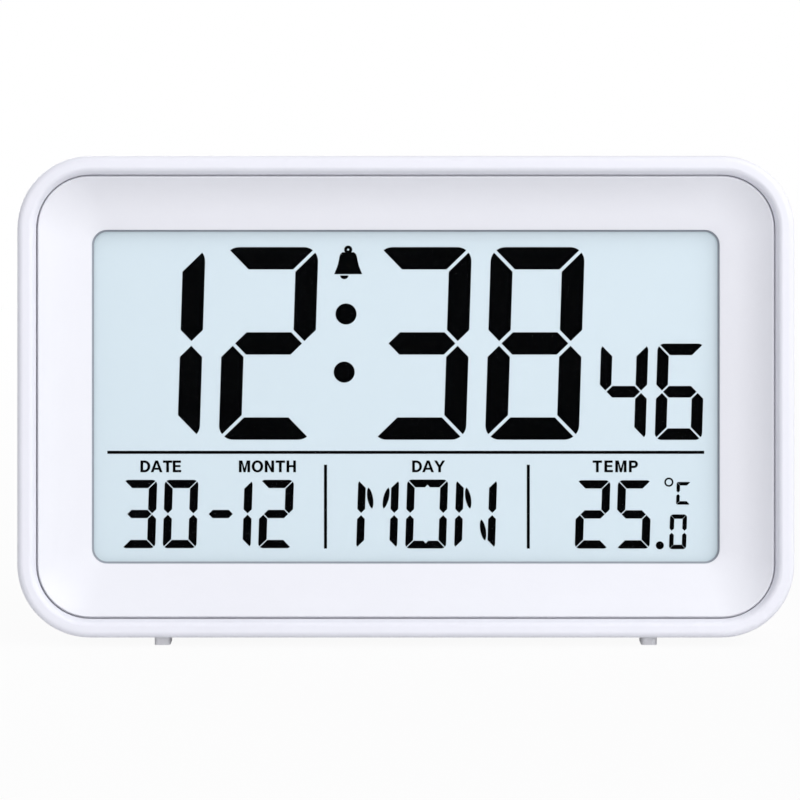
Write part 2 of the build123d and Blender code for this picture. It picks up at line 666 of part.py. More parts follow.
def make_snooze_bar():
    """Long key that follows the slope of the top, with a flange under the wall and a rib to its switch."""
    top = FACE_HEIGHT / 2 + SNOOZE_PROUD
    flange_top = CASE_WALL + SNOOZE_REST_GAP
    flange_under = flange_top + SNOOZE_FLANGE
    plunger_top = SNOOZE_SWITCH_TOP + SNOOZE_PLUNGER_REACH
    cap = upright(SNOOZE_WIDTH, SNOOZE_LENGTH, SNOOZE_CORNER, plunger_top, top, 0, SNOOZE_DEPTH)
    cap &= case_form(-SNOOZE_PROUD, 0, CASE_DEPTH)
    cap = fillet(cap.faces().sort_by(Axis.Z)[-1].edges(), SNOOZE_EDGE_RADIUS)
    reach = 2 * (SNOOZE_FIT + SNOOZE_FLANGE_REACH)
    width = SNOOZE_WIDTH + reach
    length = SNOOZE_LENGTH + reach
    flange = upright(width, length, SNOOZE_CORNER, plunger_top, top, 0, SNOOZE_DEPTH)
    bar_part = cap + (flange & case_form(flange_top, 0, CASE_DEPTH))
    bar_part -= case_form(flange_under, 0, CASE_DEPTH)
    rib_front = snooze_switch_depth() - SNOOZE_RIB_THICKNESS / 2
    rib_back = snooze_switch_depth() + SNOOZE_RIB_THICKNESS / 2
    half = SNOOZE_RIB_WIDTH / 2
    rib = block(-half, half, rib_front, rib_back, plunger_top + CONTACT_GAP, top)
    return bar_part + (rib & case_form(flange_top + SNOOZE_FLANGE / 2, 0, CASE_DEPTH))


def make_key_board():
    """Narrow board behind the keys, with holes for the two screws that hold it."""
    left = KEY_PLACES[0] - KEY_BOARD_MARGIN
    right = SLIDER_X + KEY_BOARD_MARGIN
    low = KEY_ROW_Z - KEY_BOARD_HEIGHT / 2
    high = KEY_ROW_Z + KEY_BOARD_HEIGHT / 2
    board = block(left, right, KEY_BOARD_FRONT, KEY_BOARD_BACK, low, high)
    for x in KEY_BOSS_PLACES:
        board -= rod(BOARD_SCREW_RADIUS + HOLE_FIT, KEY_BOARD_FRONT, KEY_BOARD_BACK, x, KEY_ROW_Z)
    return board


def make_key_board_screws():
    """Two screws driven backwards into the bosses of the rear cover."""
    screws = []
    length = KEY_BOARD_THICKNESS + BOARD_SCREW_BITE
    for x in KEY_BOSS_PLACES:
        forward = screw(BOARD_SCREW_RADIUS, length, BOARD_HEAD_RADIUS, BOARD_HEAD_HEIGHT, 0, 0, 0)
        screws.append(Pos(x, KEY_BOARD_FRONT, KEY_ROW_Z) * Rot(0, 0, 180) * forward)
    return screws


def make_key_switches():
    """Four square switch bodies, each with a well for its plunger."""
    bodies = []
    half = SWITCH_SIZE / 2
    well_front = SWITCH_BACK - PLUNGER_SUNK - KEY_TRAVEL - PLUNGER_FIT
    low = KEY_ROW_Z - half
    high = KEY_ROW_Z + half
    for x in KEY_PLACES:
        body = block(x - half, x + half, KEY_BOARD_BACK, SWITCH_BACK, low, high)
        body -= rod(PLUNGER_RADIUS + PLUNGER_FIT, well_front, SWITCH_BACK, x, KEY_ROW_Z)
        bodies.append(body)
    return bodies


def make_key_plunger(x):
    return rod(PLUNGER_RADIUS, SWITCH_BACK - PLUNGER_SUNK, PLUNGER_BACK, x, KEY_ROW_Z)


def make_key_cap(x):
    """Key cap with a rounded outer edge, a flange behind the wall and a stem to its switch."""
    corner = KEY_HEIGHT / 2 - KEY_FIT
    flange_back = BACK_INNER - KEY_REST_GAP
    flange_front = flange_back - KEY_FLANGE
    reach = 2 * (KEY_FIT + KEY_FLANGE_REACH)
    cap = slab(KEY_WIDTH, KEY_HEIGHT, corner, flange_front, CASE_DEPTH + KEY_PROUD, x, KEY_ROW_Z)
    cap = fillet(back_edges(cap), KEY_EDGE_RADIUS)
    cap += slab(KEY_WIDTH + reach, KEY_HEIGHT + reach, corner, flange_front, flange_back, x, KEY_ROW_Z)
    return cap + rod(KEY_STEM_RADIUS, PLUNGER_BACK + CONTACT_GAP, flange_front, x, KEY_ROW_Z)


def make_ribbon_cable():
    """Flat cable bowed between the two boards."""
    half = RIBBON_THICKNESS / 2
    middle = (BOARD_BACK + KEY_BOARD_FRONT) / 2
    side = Plane(origin=(RIBBON_X - RIBBON_WIDTH / 2, 0, KEY_ROW_Z), x_dir=(0, 1, 0), z_dir=(1, 0, 0))
    upper = ThreePointArc((BOARD_BACK, half), (middle, RIBBON_BOW + half), (KEY_BOARD_FRONT, half))
    lower = ThreePointArc((KEY_BOARD_FRONT, -half), (middle, RIBBON_BOW - half), (BOARD_BACK, -half))
    edges = [upper, Line(upper @ 1, lower @ 0), lower, Line(lower @ 1, upper @ 0)]
    return extrude(side * make_face(edges), RIBBON_WIDTH)


def knob_x():
    return SLIDER_X - SLIDER_TRAVEL / 2


def make_alarm_switch():
    """Slide switch body with a slot for the knob's stem."""
    half = SLIDER_BODY_WIDTH / 2
    half_height = SLIDER_BODY_HEIGHT / 2
    back = KEY_BOARD_BACK + SLIDER_BODY_DEPTH
    low = KEY_ROW_Z - half_height
    high = KEY_ROW_Z + half_height
    body = block(SLIDER_X - half, SLIDER_X + half, KEY_BOARD_BACK, back, low, high)
    slot = SLIDER_TRAVEL / 2 + KNOB_STEM / 2 + KNOB_FIT
    slot_front = back - KNOB_STEM_SUNK - PLUNGER_FIT
    slot_half = KNOB_STEM / 2 + PLUNGER_FIT
    slot_low = KEY_ROW_Z - slot_half
    slot_high = KEY_ROW_Z + slot_half
    return body - block(SLIDER_X - slot, SLIDER_X + slot, slot_front, back, slot_low, slot_high)


def make_alarm_knob():
    """Knob with a rounded grip, a shield that closes the slot and a stem into the switch."""
    x = knob_x()
    shield_back = BACK_INNER - KEY_REST_GAP
    shield_front = shield_back - KNOB_SHIELD_THICKNESS
    stem_front = KEY_BOARD_BACK + SLIDER_BODY_DEPTH - KNOB_STEM_SUNK
    knob = slab(KNOB_WIDTH, KNOB_HEIGHT, KNOB_CORNER, shield_front, CASE_DEPTH + KNOB_PROUD, x, KEY_ROW_Z)
    knob = fillet(back_edges(knob), KNOB_EDGE_RADIUS)
    width = KNOB_WIDTH + 2 * (SLIDER_TRAVEL + KNOB_FIT + KNOB_SHIELD_REACH)
    height = KNOB_HEIGHT + 2 * (KNOB_FIT + KNOB_SHIELD_REACH)
    knob += slab(width, height, KNOB_CORNER, shield_front, shield_back, x, KEY_ROW_Z)
    half = KNOB_STEM / 2
    return knob + block(x - half, x + half, stem_front, shield_front, KEY_ROW_Z - half, KEY_ROW_Z + half)


def make_buzzer_disc():
    return rod(BUZZER_RADIUS, BUZZER_BACK - BUZZER_THICKNESS, BUZZER_BACK, BUZZER_X, BAY_Z)


def make_buzzer_ceramic():
    back = BUZZER_BACK - BUZZER_THICKNESS
    return rod(CERAMIC_RADIUS, back - CERAMIC_THICKNESS, back, BUZZER_X, BAY_Z)


def tube(points, radii, radius):
    """Round lead along straight runs joined by tangent arcs."""
    path = FilletPolyline(*points, radius=radii)
    start = Plane(origin=path @ 0, z_dir=path % 0)
    return sweep(start * Circle(radius), path=path)


def make_buzzer_leads():
    """Two leads from the buzzer to the main board, one off the ceramic and one off the disc."""
    leads = []
    ceramic_front = BUZZER_BACK - BUZZER_THICKNESS - CERAMIC_THICKNESS
    disc_front = BUZZER_BACK - BUZZER_THICKNESS
    rim = (BUZZER_RADIUS + CERAMIC_RADIUS) / 2
    for start_depth, away in ((ceramic_front, CERAMIC_RADIUS / 2), (disc_front, rim)):
        run = (start_depth - BOARD_BACK) / 3
        points = [
            (BUZZER_X, start_depth, BAY_Z + away),
            (BUZZER_X, start_depth - run, BAY_Z + away),
            (BUZZER_X - run, start_depth - 2 * run, BAY_Z + away),
            (BUZZER_X - run, BOARD_BACK, BAY_Z + away),
        ]
        radius = ARC_SHARE * run / tan(radians(BUZZER_LEAD_TURN) / 2)
        leads.append(tube(points, [radius, radius], LEAD_RADIUS))
        print(f"buzzer lead bends at radius {radius:.2f} mm")
    return leads


def make_battery_lead(z):
    """Lead from a contact's tail to the main board."""
    start = -BAY_WIDTH / 2 - TAIL_LENGTH
    corner = (start - LEAD_RUN, CELL_DEPTH, z)
    points = [(start, CELL_DEPTH, z), corner, (start - LEAD_RUN, BOARD_BACK, z)]
    print(f"battery lead bends at radius {LEAD_BEND:.2f} mm")
    return tube(points, [LEAD_BEND], LEAD_RADIUS)


def make_cell(z, plus):
    """One cell lying across the bay, its nub on the plus side."""
    flat = CONTACT_FACE - SPRING_LENGTH
    shoulder = CONTACT_FACE - CELL_NUB_LENGTH
    can = bar(CELL_RADIUS, -flat, shoulder, CELL_DEPTH, z)
    can = fillet(can.edges().filter_by(GeomType.CIRCLE), CELL_EDGE_RADIUS)
    cell = can + bar(CELL_NUB_RADIUS, shoulder, CONTACT_FACE, CELL_DEPTH, z)
    if plus > 0:
        return cell
    return mirror(cell, about=Plane.YZ)


def contact_plate(low, high):
    """Flat spring-steel plate against the left wall of the bay."""
    half = CONTACT_SIZE / 2
    left = -BAY_WIDTH / 2
    right = left + CONTACT_THICKNESS
    return block(left, right, CELL_DEPTH - half, CELL_DEPTH + half, low, high)


def make_end_contact(z):
    """Plate for one cell, with a solder tail through the wall of the bay."""
    plate = contact_plate(z - CONTACT_SIZE / 2, z + CONTACT_SIZE / 2)
    half = CONTACT_THICKNESS / 2
    left = -BAY_WIDTH / 2 - TAIL_LENGTH
    low = z - TAIL_WIDTH / 2
    high = z + TAIL_WIDTH / 2
    return plate + block(left, -CONTACT_FACE, CELL_DEPTH - half, CELL_DEPTH + half, low, high)


def make_bridge_contact():
    """One plate across both cells at the right of the bay."""
    plate = contact_plate(LOWER_CELL_Z - CONTACT_SIZE / 2, UPPER_CELL_Z + CONTACT_SIZE / 2)
    return mirror(plate, about=Plane.YZ)


def biarc(start, start_way, end, end_way):
    """Two arcs that meet smoothly and join two points along given directions."""
    chord = end - start
    ways = start_way + end_way
    square = 2 * (start_way.dot(end_way) - 1)
    linear = -2 * chord.dot(ways)
    rest = chord.dot(chord)
    reach = (-linear - (linear * linear - 4 * square * rest) ** 0.5) / (2 * square)
    first = start + start_way * reach
    last = end - end_way * reach
    joint = (first + last) * 0.5
    return [TangentArc(start, joint, tangent=start_way), TangentArc(joint, end, tangent=last - first)]


def spring_point(turn):
    """Point on the middle of the wire, by turns from the base."""
    share = turn / SPRING_TURNS
    radius = SPRING_BASE_RADIUS + (SPRING_TIP_RADIUS - SPRING_BASE_RADIUS) * share
    rise = SPRING_LENGTH - SPRING_WIRE - 2 * SPRING_GAP
    along = -CONTACT_FACE + SPRING_GAP + SPRING_WIRE / 2 + rise * share
    angle = 2 * pi * turn
    return Vector(along, CELL_DEPTH + radius * cos(angle), UPPER_CELL_Z + radius * sin(angle))


def spring_way(turn):
    """Direction of the wire, by turns from the base."""
    nudge = 0.0005
    return (spring_point(turn + nudge) - spring_point(turn - nudge)).normalized()


def print_spring_gap():
    """Print the least gap between turns of the spring, measured on points of its wire."""
    samples = 36
    points = [spring_point(index / samples) for index in range(SPRING_TURNS * samples + 1)]
    gaps = []
    for index, point in enumerate(points):
        gaps += [(point - other).length for other in points[index + samples // 2:]]
    print(f"contact spring's least gap to itself {min(gaps) - SPRING_WIRE:.2f} mm")


def make_contact_spring():
    """Conical spring for the upper cell, a quarter turn to each pair of arcs, with straight ends."""
    quarters = SPRING_TURNS * 4
    start = spring_point(0)
    end = spring_point(SPRING_TURNS)
    start_way = Vector(0, spring_way(0).Y, spring_way(0).Z).normalized()
    end_way = Vector(0, spring_way(SPRING_TURNS).Y, spring_way(SPRING_TURNS).Z).normalized()
    edges = [Line(start - start_way * SPRING_WIRE, start)]
    for quarter in range(quarters):
        first = quarter / 4
        last = (quarter + 1) / 4
        first_way = start_way if quarter == 0 else spring_way(first)
        last_way = end_way if quarter == quarters - 1 else spring_way(last)
        edges += biarc(spring_point(first), first_way, spring_point(last), last_way)
    edges.append(Line(end, end + end_way * SPRING_WIRE))
    section = Plane(origin=edges[0] @ 0, z_dir=start_way) * Circle(SPRING_WIRE / 2)
    return sweep(section, path=Wire(edges))


def opposite_end(part):
    """The same contact turned end for end, to serve the other cell."""
    return Pos(0, 0, 2 * BAY_Z) * Rot(0, 180, 0) * part


def make_rear_cover():
    """Rear shell with its lip, screw wells, battery bay, key openings, grilles and foot seats."""
    cover = case_form(0, COVER_FRONT, CASE_DEPTH)
    cover = fillet(back_edges(cover), BACK_EDGE_RADIUS)
    hollow = case_form(CASE_WALL, COVER_FRONT, BACK_INNER)
    cover -= fillet(back_edges(hollow), BACK_EDGE_RADIUS - CASE_WALL)
    lip_front = PARTING_DEPTH - LIP_LENGTH
    lip = case_form(LIP_INSET, lip_front, LIP_ROOT_BACK)
    lip += case_form(CASE_WALL - LIP_BOND, COVER_FRONT, LIP_ROOT_BACK)
    cover += lip - case_form(LIP_INSET + LIP_WALL, lip_front, LIP_ROOT_BACK)
    inner_back = CASE_DEPTH - BACK_WALL / 2
    for x, z in POST_PLACES:
        cover += rod(WELL_BORE + WELL_WALL, WELL_FRONT, inner_back, x, z)
    bay_height = BAY_HEIGHT + 2 * BAY_WALL
    cover += slab(2 * BAY_OUTER_X, bay_height, BAY_WALL / 2, BAY_FRONT, inner_back, z=BAY_Z)
    for x in KEY_BOSS_PLACES:
        cover += rod(KEY_BOSS_RADIUS, KEY_BOARD_BACK, inner_back, x, KEY_ROW_Z)
    cover += rod(BUZZER_RADIUS, BUZZER_BACK, inner_back, BUZZER_X, BAY_Z)
    cover -= rod(BUZZER_RADIUS - BUZZER_RING_WALL, BUZZER_BACK, BACK_INNER, BUZZER_X, BAY_Z)
    for cutter in cover_cuts():
        cover -= cutter
    return cover


def cover_cuts():
    """Everything that is cut from the rear cover."""
    outside = CASE_DEPTH + CUT_OVERRUN
    cuts = []
    for x, z in POST_PLACES:
        cuts.append(rod(WELL_BORE, WELL_SEAT, outside, x, z))
        cuts.append(rod(CASE_SCREW_RADIUS + HOLE_FIT, WELL_FRONT, WELL_SEAT, x, z))
    for x in KEY_BOSS_PLACES:
        pilot_back = KEY_BOARD_BACK + BOARD_SCREW_LENGTH
        cuts.append(rod(BOARD_SCREW_RADIUS, KEY_BOARD_BACK, pilot_back, x, KEY_ROW_Z))
    for x in KEY_PLACES:
        width = KEY_WIDTH + 2 * KEY_FIT
        height = KEY_HEIGHT + 2 * KEY_FIT
        cuts.append(slab(width, height, KEY_HEIGHT / 2, BACK_INNER, outside, x, KEY_ROW_Z))
    slot_width = KNOB_WIDTH + SLIDER_TRAVEL + 2 * KNOB_FIT
    slot_height = KNOB_HEIGHT + 2 * KNOB_FIT
    cuts.append(slab(slot_width, slot_height, KNOB_CORNER, BACK_INNER, outside, SLIDER_X, KEY_ROW_Z))
    cuts.append(rod(SOUND_HOLE_RADIUS, BACK_INNER, outside, BUZZER_X, BAY_Z))
    for index in range(SOUND_HOLE_COUNT):
        angle = 2 * pi * index / SOUND_HOLE_COUNT
        x = BUZZER_X + SOUND_HOLE_CIRCLE * cos(angle)
        z = BAY_Z + SOUND_HOLE_CIRCLE * sin(angle)
        cuts.append(rod(SOUND_HOLE_RADIUS, BACK_INNER, outside, x, z))
    for index in range(VENT_COUNT):
        z = BAY_Z + VENT_PITCH * (index - (VENT_COUNT - 1) / 2)
        cuts.append(slab(VENT_WIDTH, VENT_HEIGHT, VENT_CORNER, BACK_INNER, outside, SENSOR_X, z))
    snooze_low = SNOOZE_SWITCH_TOP
    snooze_width = SNOOZE_WIDTH + 2 * SNOOZE_FIT
    snooze_length = SNOOZE_LENGTH + 2 * SNOOZE_FIT
    corner = SNOOZE_CORNER + SNOOZE_FIT
    cuts.append(upright(snooze_width, snooze_length, corner, snooze_low, FACE_HEIGHT, 0, SNOOZE_DEPTH))
    return cuts + bay_cuts() + foot_seats(REAR_FOOT_DEPTH)


def bay_cuts():
    """Battery bay with two troughs, the door's recess, its tab slots, finger notch and contact slits."""
    outside = CASE_DEPTH + CUT_OVERRUN
    half_width = BAY_WIDTH / 2
    ridge = CELL_DEPTH - BAY_RIDGE_DROP
    cuts = [block(-half_width, half_width, ridge, outside, BAY_Z - BAY_HEIGHT / 2, BAY_Z + BAY_HEIGHT / 2)]
    for z in (UPPER_CELL_Z, LOWER_CELL_Z):
        cuts.append(bar(TROUGH_RADIUS, -half_width, half_width, CELL_DEPTH, z))
        slit = CONTACT_THICKNESS / 2 + TAIL_FIT
        low = z - TAIL_WIDTH / 2 - TAIL_FIT
        high = z + TAIL_WIDTH / 2 + TAIL_FIT
        left = -half_width - TAIL_LENGTH
        cuts.append(block(left, -half_width, CELL_DEPTH - slit, CELL_DEPTH + slit, low, high))
    plate_front = CELL_DEPTH - CONTACT_SIZE / 2 - TAIL_FIT
    plate_low = LOWER_CELL_Z - CONTACT_SIZE / 2 - TAIL_FIT
    plate_high = UPPER_CELL_Z + CONTACT_SIZE / 2 + TAIL_FIT
    left_end = block(-half_width, -CONTACT_FACE + TAIL_FIT, plate_front, outside, plate_low, plate_high)
    cuts += [left_end, mirror(left_end, about=Plane.YZ)]
    recess_front = DOOR_FRONT - DOOR_SEAT_GAP
    recess_width = DOOR_WIDTH + 2 * DOOR_FIT
    recess_height = DOOR_HEIGHT + 2 * DOOR_FIT
    cuts.append(slab(recess_width, recess_height, DOOR_CORNER + DOOR_FIT, recess_front, outside, z=BAY_Z))
    swing = TAB_DROP + DOOR_THICKNESS + TAB_LENGTH
    for x in TAB_PLACES:
        half = TAB_WIDTH / 2 + TAB_FIT
        low = HINGE_Z - TAB_LENGTH - TAB_FIT
        high = BAY_Z - BAY_HEIGHT / 2 + TAB_FIT
        cuts.append(block(x - half, x + half, CASE_DEPTH - swing, BACK_INNER, low, high))
        cuts.append(block(x - half, x + half, CASE_DEPTH - swing, outside, DOOR_LOW, high))
    cuts.append(rod(NOTCH_RADIUS, CASE_DEPTH - NOTCH_DEPTH, outside, 0, DOOR_HIGH))
    return cuts


def make_battery_door():
    """Door plate with a flexing ribbed latch, stiffening ribs and tabs that hook under the back wall."""
    door = slab(DOOR_WIDTH, DOOR_HEIGHT, DOOR_CORNER, DOOR_FRONT, CASE_DEPTH, z=BAY_Z)
    rib_front = DOOR_FRONT - DOOR_RIB_HEIGHT
    rib_low = BAY_Z - BAY_HEIGHT / 2 + DOOR_LAP
    rib_high = BAY_Z + BAY_HEIGHT / 2 - DOOR_LAP
    for side in (-1, 1):
        middle = side * DOOR_RIB_SPACING / 2
        left = middle - DOOR_RIB_WIDTH / 2
        right = middle + DOOR_RIB_WIDTH / 2
        door += block(left, right, rib_front, DOOR_FRONT, rib_low, rib_high)
        slit = side * (LATCH_WIDTH + LATCH_SLIT) / 2
        left = slit - LATCH_SLIT / 2
        right = slit + LATCH_SLIT / 2
        door -= block(left, right, DOOR_FRONT, CASE_DEPTH, DOOR_HIGH - LATCH_LENGTH, DOOR_HIGH)
    bead_depth = (DOOR_FRONT + CASE_DEPTH) / 2
    bead_reach = LATCH_WIDTH / 2 - LATCH_SLIT
    bead_z = DOOR_HIGH + LATCH_BEAD - BEAD_RADIUS
    door += bar(BEAD_RADIUS, -bead_reach, bead_reach, bead_depth, bead_z)
    for index in range(GRIP_COUNT):
        grip_z = DOOR_HIGH - GRIP_PITCH * (index + 1)
        door += bar(GRIP_RADIUS, -GRIP_LENGTH / 2, GRIP_LENGTH / 2, CASE_DEPTH, grip_z)
    for x in TAB_PLACES:
        left = x - TAB_WIDTH / 2
        right = x + TAB_WIDTH / 2
        root = DOOR_LOW + DOOR_LAP + TAB_FIT
        door += block(left, right, TAB_FRONT, DOOR_FRONT, DOOR_LOW, root)
        door += block(left, right, TAB_FRONT, TAB_FRONT + TAB_THICKNESS, DOOR_LOW - TAB_LENGTH, root)
    return door


def make_case_screws():
    length = WELL_SEAT - POST_BACK + CASE_SCREW_BITE
    return [
        screw(CASE_SCREW_RADIUS, length, CASE_HEAD_RADIUS, CASE_HEAD_HEIGHT, WELL_SEAT, x, z)
        for x, z in POST_PLACES
    ]


def make_clock():
    """Every piece of the clock by name, each a solid or a list of like solids."""
    spring = make_contact_spring()
    pieces = {
        "front_case": make_front_case(),
        "bezel_frame": make_bezel_frame(),
        "lens_tape": make_lens_tape(),
        "display_lens": make_display_lens(),
        "polariser_film": make_polariser_film(),
        "lcd_front_glass": make_lcd_front_glass(),
        "lcd_rear_glass": make_lcd_rear_glass(),
        "contact_strip": make_contact_strip(),
        "display_holder": make_display_holder(),
        "light_guide": make_light_guide(),
        "reflector_film": make_reflector_film(),
        "backlight_lamps": make_backlight_lamps(),
        "main_board": make_main_board(),
        "board_screws": make_board_screws(),
        "controller_chip": make_controller_chip(),
        "quartz_crystal": make_quartz_crystal(),
        "capacitor": make_capacitor(),
        "temperature_sensor": make_temperature_sensor(),
        "snooze_switch": make_snooze_switch(),
        "snooze_plunger": make_snooze_plunger(),
        "snooze_bar": make_snooze_bar(),
        "rear_cover": make_rear_cover(),
        "case_screws": make_case_screws(),
        "key_board": make_key_board(),
        "key_board_screws": make_key_board_screws(),
        "key_switches": make_key_switches(),
        "ribbon_cable": make_ribbon_cable(),
        "alarm_switch": make_alarm_switch(),
        "alarm_knob": make_alarm_knob(),
        "buzzer_disc": make_buzzer_disc(),
        "buzzer_ceramic": make_buzzer_ceramic(),
        "buzzer_leads": make_buzzer_leads(),
        "upper_cell": make_cell(UPPER_CELL_Z, 1),
        "lower_cell": make_cell(LOWER_CELL_Z, -1),
        "upper_spring": spring,
        "lower_spring": opposite_end(spring),
        "negative_contact": make_end_contact(UPPER_CELL_Z),
        "positive_contact": make_end_contact(LOWER_CELL_Z),
        "bridge_contact": make_bridge_contact(),
        "negative_lead": make_battery_lead(UPPER_CELL_Z),
        "positive_lead": make_battery_lead(LOWER_CELL_Z),
        "battery_door": make_battery_door(),
    }
    for name, x in zip(KEY_NAMES, KEY_PLACES):
        pieces[f"{name}_key"] = make_key_cap(x)
        pieces[f"{name}_plunger"] = make_key_plunger(x)
    for end, depth in (("front", FRONT_FOOT_DEPTH), ("rear", REAR_FOOT_DEPTH)):
        for side_name, side in (("left", -1), ("right", 1)):
            pieces[f"{end}_{side_name}_foot"] = make_foot(side, depth)
    return pieces


def main():
    os.makedirs("parts", exist_ok=True)
    print_spring_gap()
    for name, piece in make_clock().items():
        solids = piece if isinstance(piece, list) else [piece]
        standing = [STANDING * solid for solid in solids]
        shape = standing[0] if len(standing) == 1 else Compound(children=standing)
        export_step(shape, f"parts/{name}.step")


if __name__ == "__main__":
    main()
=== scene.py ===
"""Looks of a white desk alarm clock: a finish for every piece and the art of its display.

Lengths on the clock are millimetres in a dataclass field and become metres where a mesh is made.
"""
from __future__ import annotations

import json
import logging
import math
from dataclasses import dataclass, field
from enum import Enum

import bpy
import numpy as np
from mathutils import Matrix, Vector


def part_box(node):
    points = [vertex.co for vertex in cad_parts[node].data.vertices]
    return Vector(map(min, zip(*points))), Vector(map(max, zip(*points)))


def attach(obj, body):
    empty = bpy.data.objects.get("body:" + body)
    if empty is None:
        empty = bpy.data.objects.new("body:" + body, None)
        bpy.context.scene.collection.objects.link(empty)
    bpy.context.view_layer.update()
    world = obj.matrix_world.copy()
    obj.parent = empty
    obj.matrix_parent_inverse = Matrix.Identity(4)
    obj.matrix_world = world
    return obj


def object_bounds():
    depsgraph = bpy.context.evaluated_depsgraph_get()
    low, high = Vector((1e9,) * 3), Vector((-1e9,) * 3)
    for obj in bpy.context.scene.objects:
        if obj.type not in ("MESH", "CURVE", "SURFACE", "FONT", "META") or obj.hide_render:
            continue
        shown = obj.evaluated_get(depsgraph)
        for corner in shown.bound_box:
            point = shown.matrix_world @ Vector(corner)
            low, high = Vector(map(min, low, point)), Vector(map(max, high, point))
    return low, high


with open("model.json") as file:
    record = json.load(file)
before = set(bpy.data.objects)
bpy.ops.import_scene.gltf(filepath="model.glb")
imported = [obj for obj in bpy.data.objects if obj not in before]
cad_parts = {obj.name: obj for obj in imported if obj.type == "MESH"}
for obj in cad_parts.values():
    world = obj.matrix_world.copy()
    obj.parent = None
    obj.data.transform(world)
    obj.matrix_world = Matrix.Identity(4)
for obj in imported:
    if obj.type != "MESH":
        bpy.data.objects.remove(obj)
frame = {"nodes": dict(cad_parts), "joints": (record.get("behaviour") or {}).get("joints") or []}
CAD_BOX = [list(corner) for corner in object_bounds()]

MM = 0.001
PHOTO_SIDE = 800
WHITE = (1.0, 1.0, 1.0, 1.0)
LOG = logging.getLogger("desk_clock")

Colour = tuple[float, float, float]
Place = tuple[float, float, float]
Point = tuple[float, float]
Span = tuple[float, float]
Seams = tuple[tuple[int, int], tuple[int, int]]
Faces = list[list[int]]
Socket = bpy.types.NodeSocket

# Depths of a surface's grain, in metres
POLISHED = 0.0
FINE_GRAIN = 0.000008
COARSE_GRAIN = 0.00002

# Stretches of a pattern along the axes
EVEN = (1.0, 1.0, 1.0)
DRAWN_ALONG_X = (0.05, 1.0, 1.0)

# Values of a pattern between which a finish goes from its shade to its colour
RAMP_SPAN = (0.3, 0.7)

# Points on the round stretches of the display's marks
CORNER_POINTS = 7
BOWL_POINTS = 17
OVAL_POINTS = 36
DOT_POINTS = 40
LEAF_POINTS = 13
CLAPPER_POINTS = 15

# Power of the sine by which a leaf swells
LEAF_POWER = 0.6


class Pattern(Enum):
    """How a finish varies over its surface."""

    MOULDED = "fine grain of a spark-eroded mould"
    BRUSHED = "lines drawn along x"
    STRIPED = "bands across x"
    TRACKED = "tracks of a circuit board"
    BANDED = "one band about the middle of x"


@dataclass(frozen=True)
class Finish:
    """One surface finish, in linear colour and metres.

    The two colours mix by the pattern, the roughness runs between two values by a fine noise, and
    this noise is also the grain, which raises the surface by a small depth. A glow is painted light
    that the surface gives off by itself, as a share of its colour.
    """

    colour: Colour
    shade: Colour
    roughness: Span = (0.36, 0.44)
    pattern: Pattern = Pattern.MOULDED
    mottle_scale: float = 45.0
    grain_scale: float = 2600.0
    grain_depth: float = FINE_GRAIN
    metallic: float = 0.0
    specular: float = 0.5
    alpha: float = 1.0
    glow: float = 0.0

    def material(self, name: str) -> bpy.types.Material:
        """Make the finish as a node material.

        Args:
            name: Name of the material.

        Returns:
            The new material.
        """
        recipe = Recipe(name)
        inputs = recipe.shader.inputs
        inputs["Metallic"].default_value = self.metallic
        inputs["Specular IOR Level"].default_value = self.specular
        inputs["Alpha"].default_value = self.alpha
        inputs["Emission Color"].default_value = (*self.colour, 1.0)
        inputs["Emission Strength"].default_value = self.glow
        mottle = recipe.height(self.pattern, self.mottle_scale)
        grain = recipe.noise(self.grain_scale)
        recipe.link(recipe.ramp(mottle, self.shade, self.colour), inputs["Base Color"])
        recipe.link(recipe.spread(grain, self.roughness), inputs["Roughness"])
        recipe.link(recipe.bump(grain, self.grain_depth), inputs["Normal"])
        return recipe.material


class Nodes:
    """A node tree that starts empty, with short calls that add and join nodes."""

    def __init__(self, tree: bpy.types.NodeTree) -> None:
        """Take a tree and clear it."""
        self.tree = tree
        self.tree.nodes.clear()

    def node(self, kind: str) -> bpy.types.Node:
        """Add a node of a kind."""
        return self.tree.nodes.new(kind)

    def link(self, start: Socket, end: Socket) -> None:
        """Join two sockets."""
        self.tree.links.new(start, end)

    def maths(self, operation: str, *values: Socket) -> bpy.types.Node:
        """Add a node that works out one operation.

        Args:
            operation: Name of the operation.
            values: Sockets that feed its inputs, from the first on.

        Returns:
            The new node.
        """
        node = self.node("ShaderNodeMath")
        node.operation = operation
        for value, socket in zip(values, node.inputs):
            self.link(value, socket)
        return node

    def seen_rays(self) -> Socket:
        """Value that is one on camera, glossy and transmission rays and nought on others.

        Returns:
            The socket that carries the value.
        """
        path = self.node("ShaderNodeLightPath")
        value = path.outputs["Is Camera Ray"]
        for name in ("Is Glossy Ray", "Is Transmission Ray"):
            value = self.maths("MAXIMUM", value, path.outputs[name]).outputs[0]
        return value

    def mix(self, share: Socket, first: Socket, second: Socket) -> Socket:
        """Mix two shaders.

        Args:
            share: Share of the second shader.
            first: One shader.
            second: The other shader.

        Returns:
            The socket that carries the mixed shader.
        """
        node = self.node("ShaderNodeMixShader")
        for value, socket in zip((share, first, second), node.inputs):
            self.link(value, socket)
        return node.outputs[0]


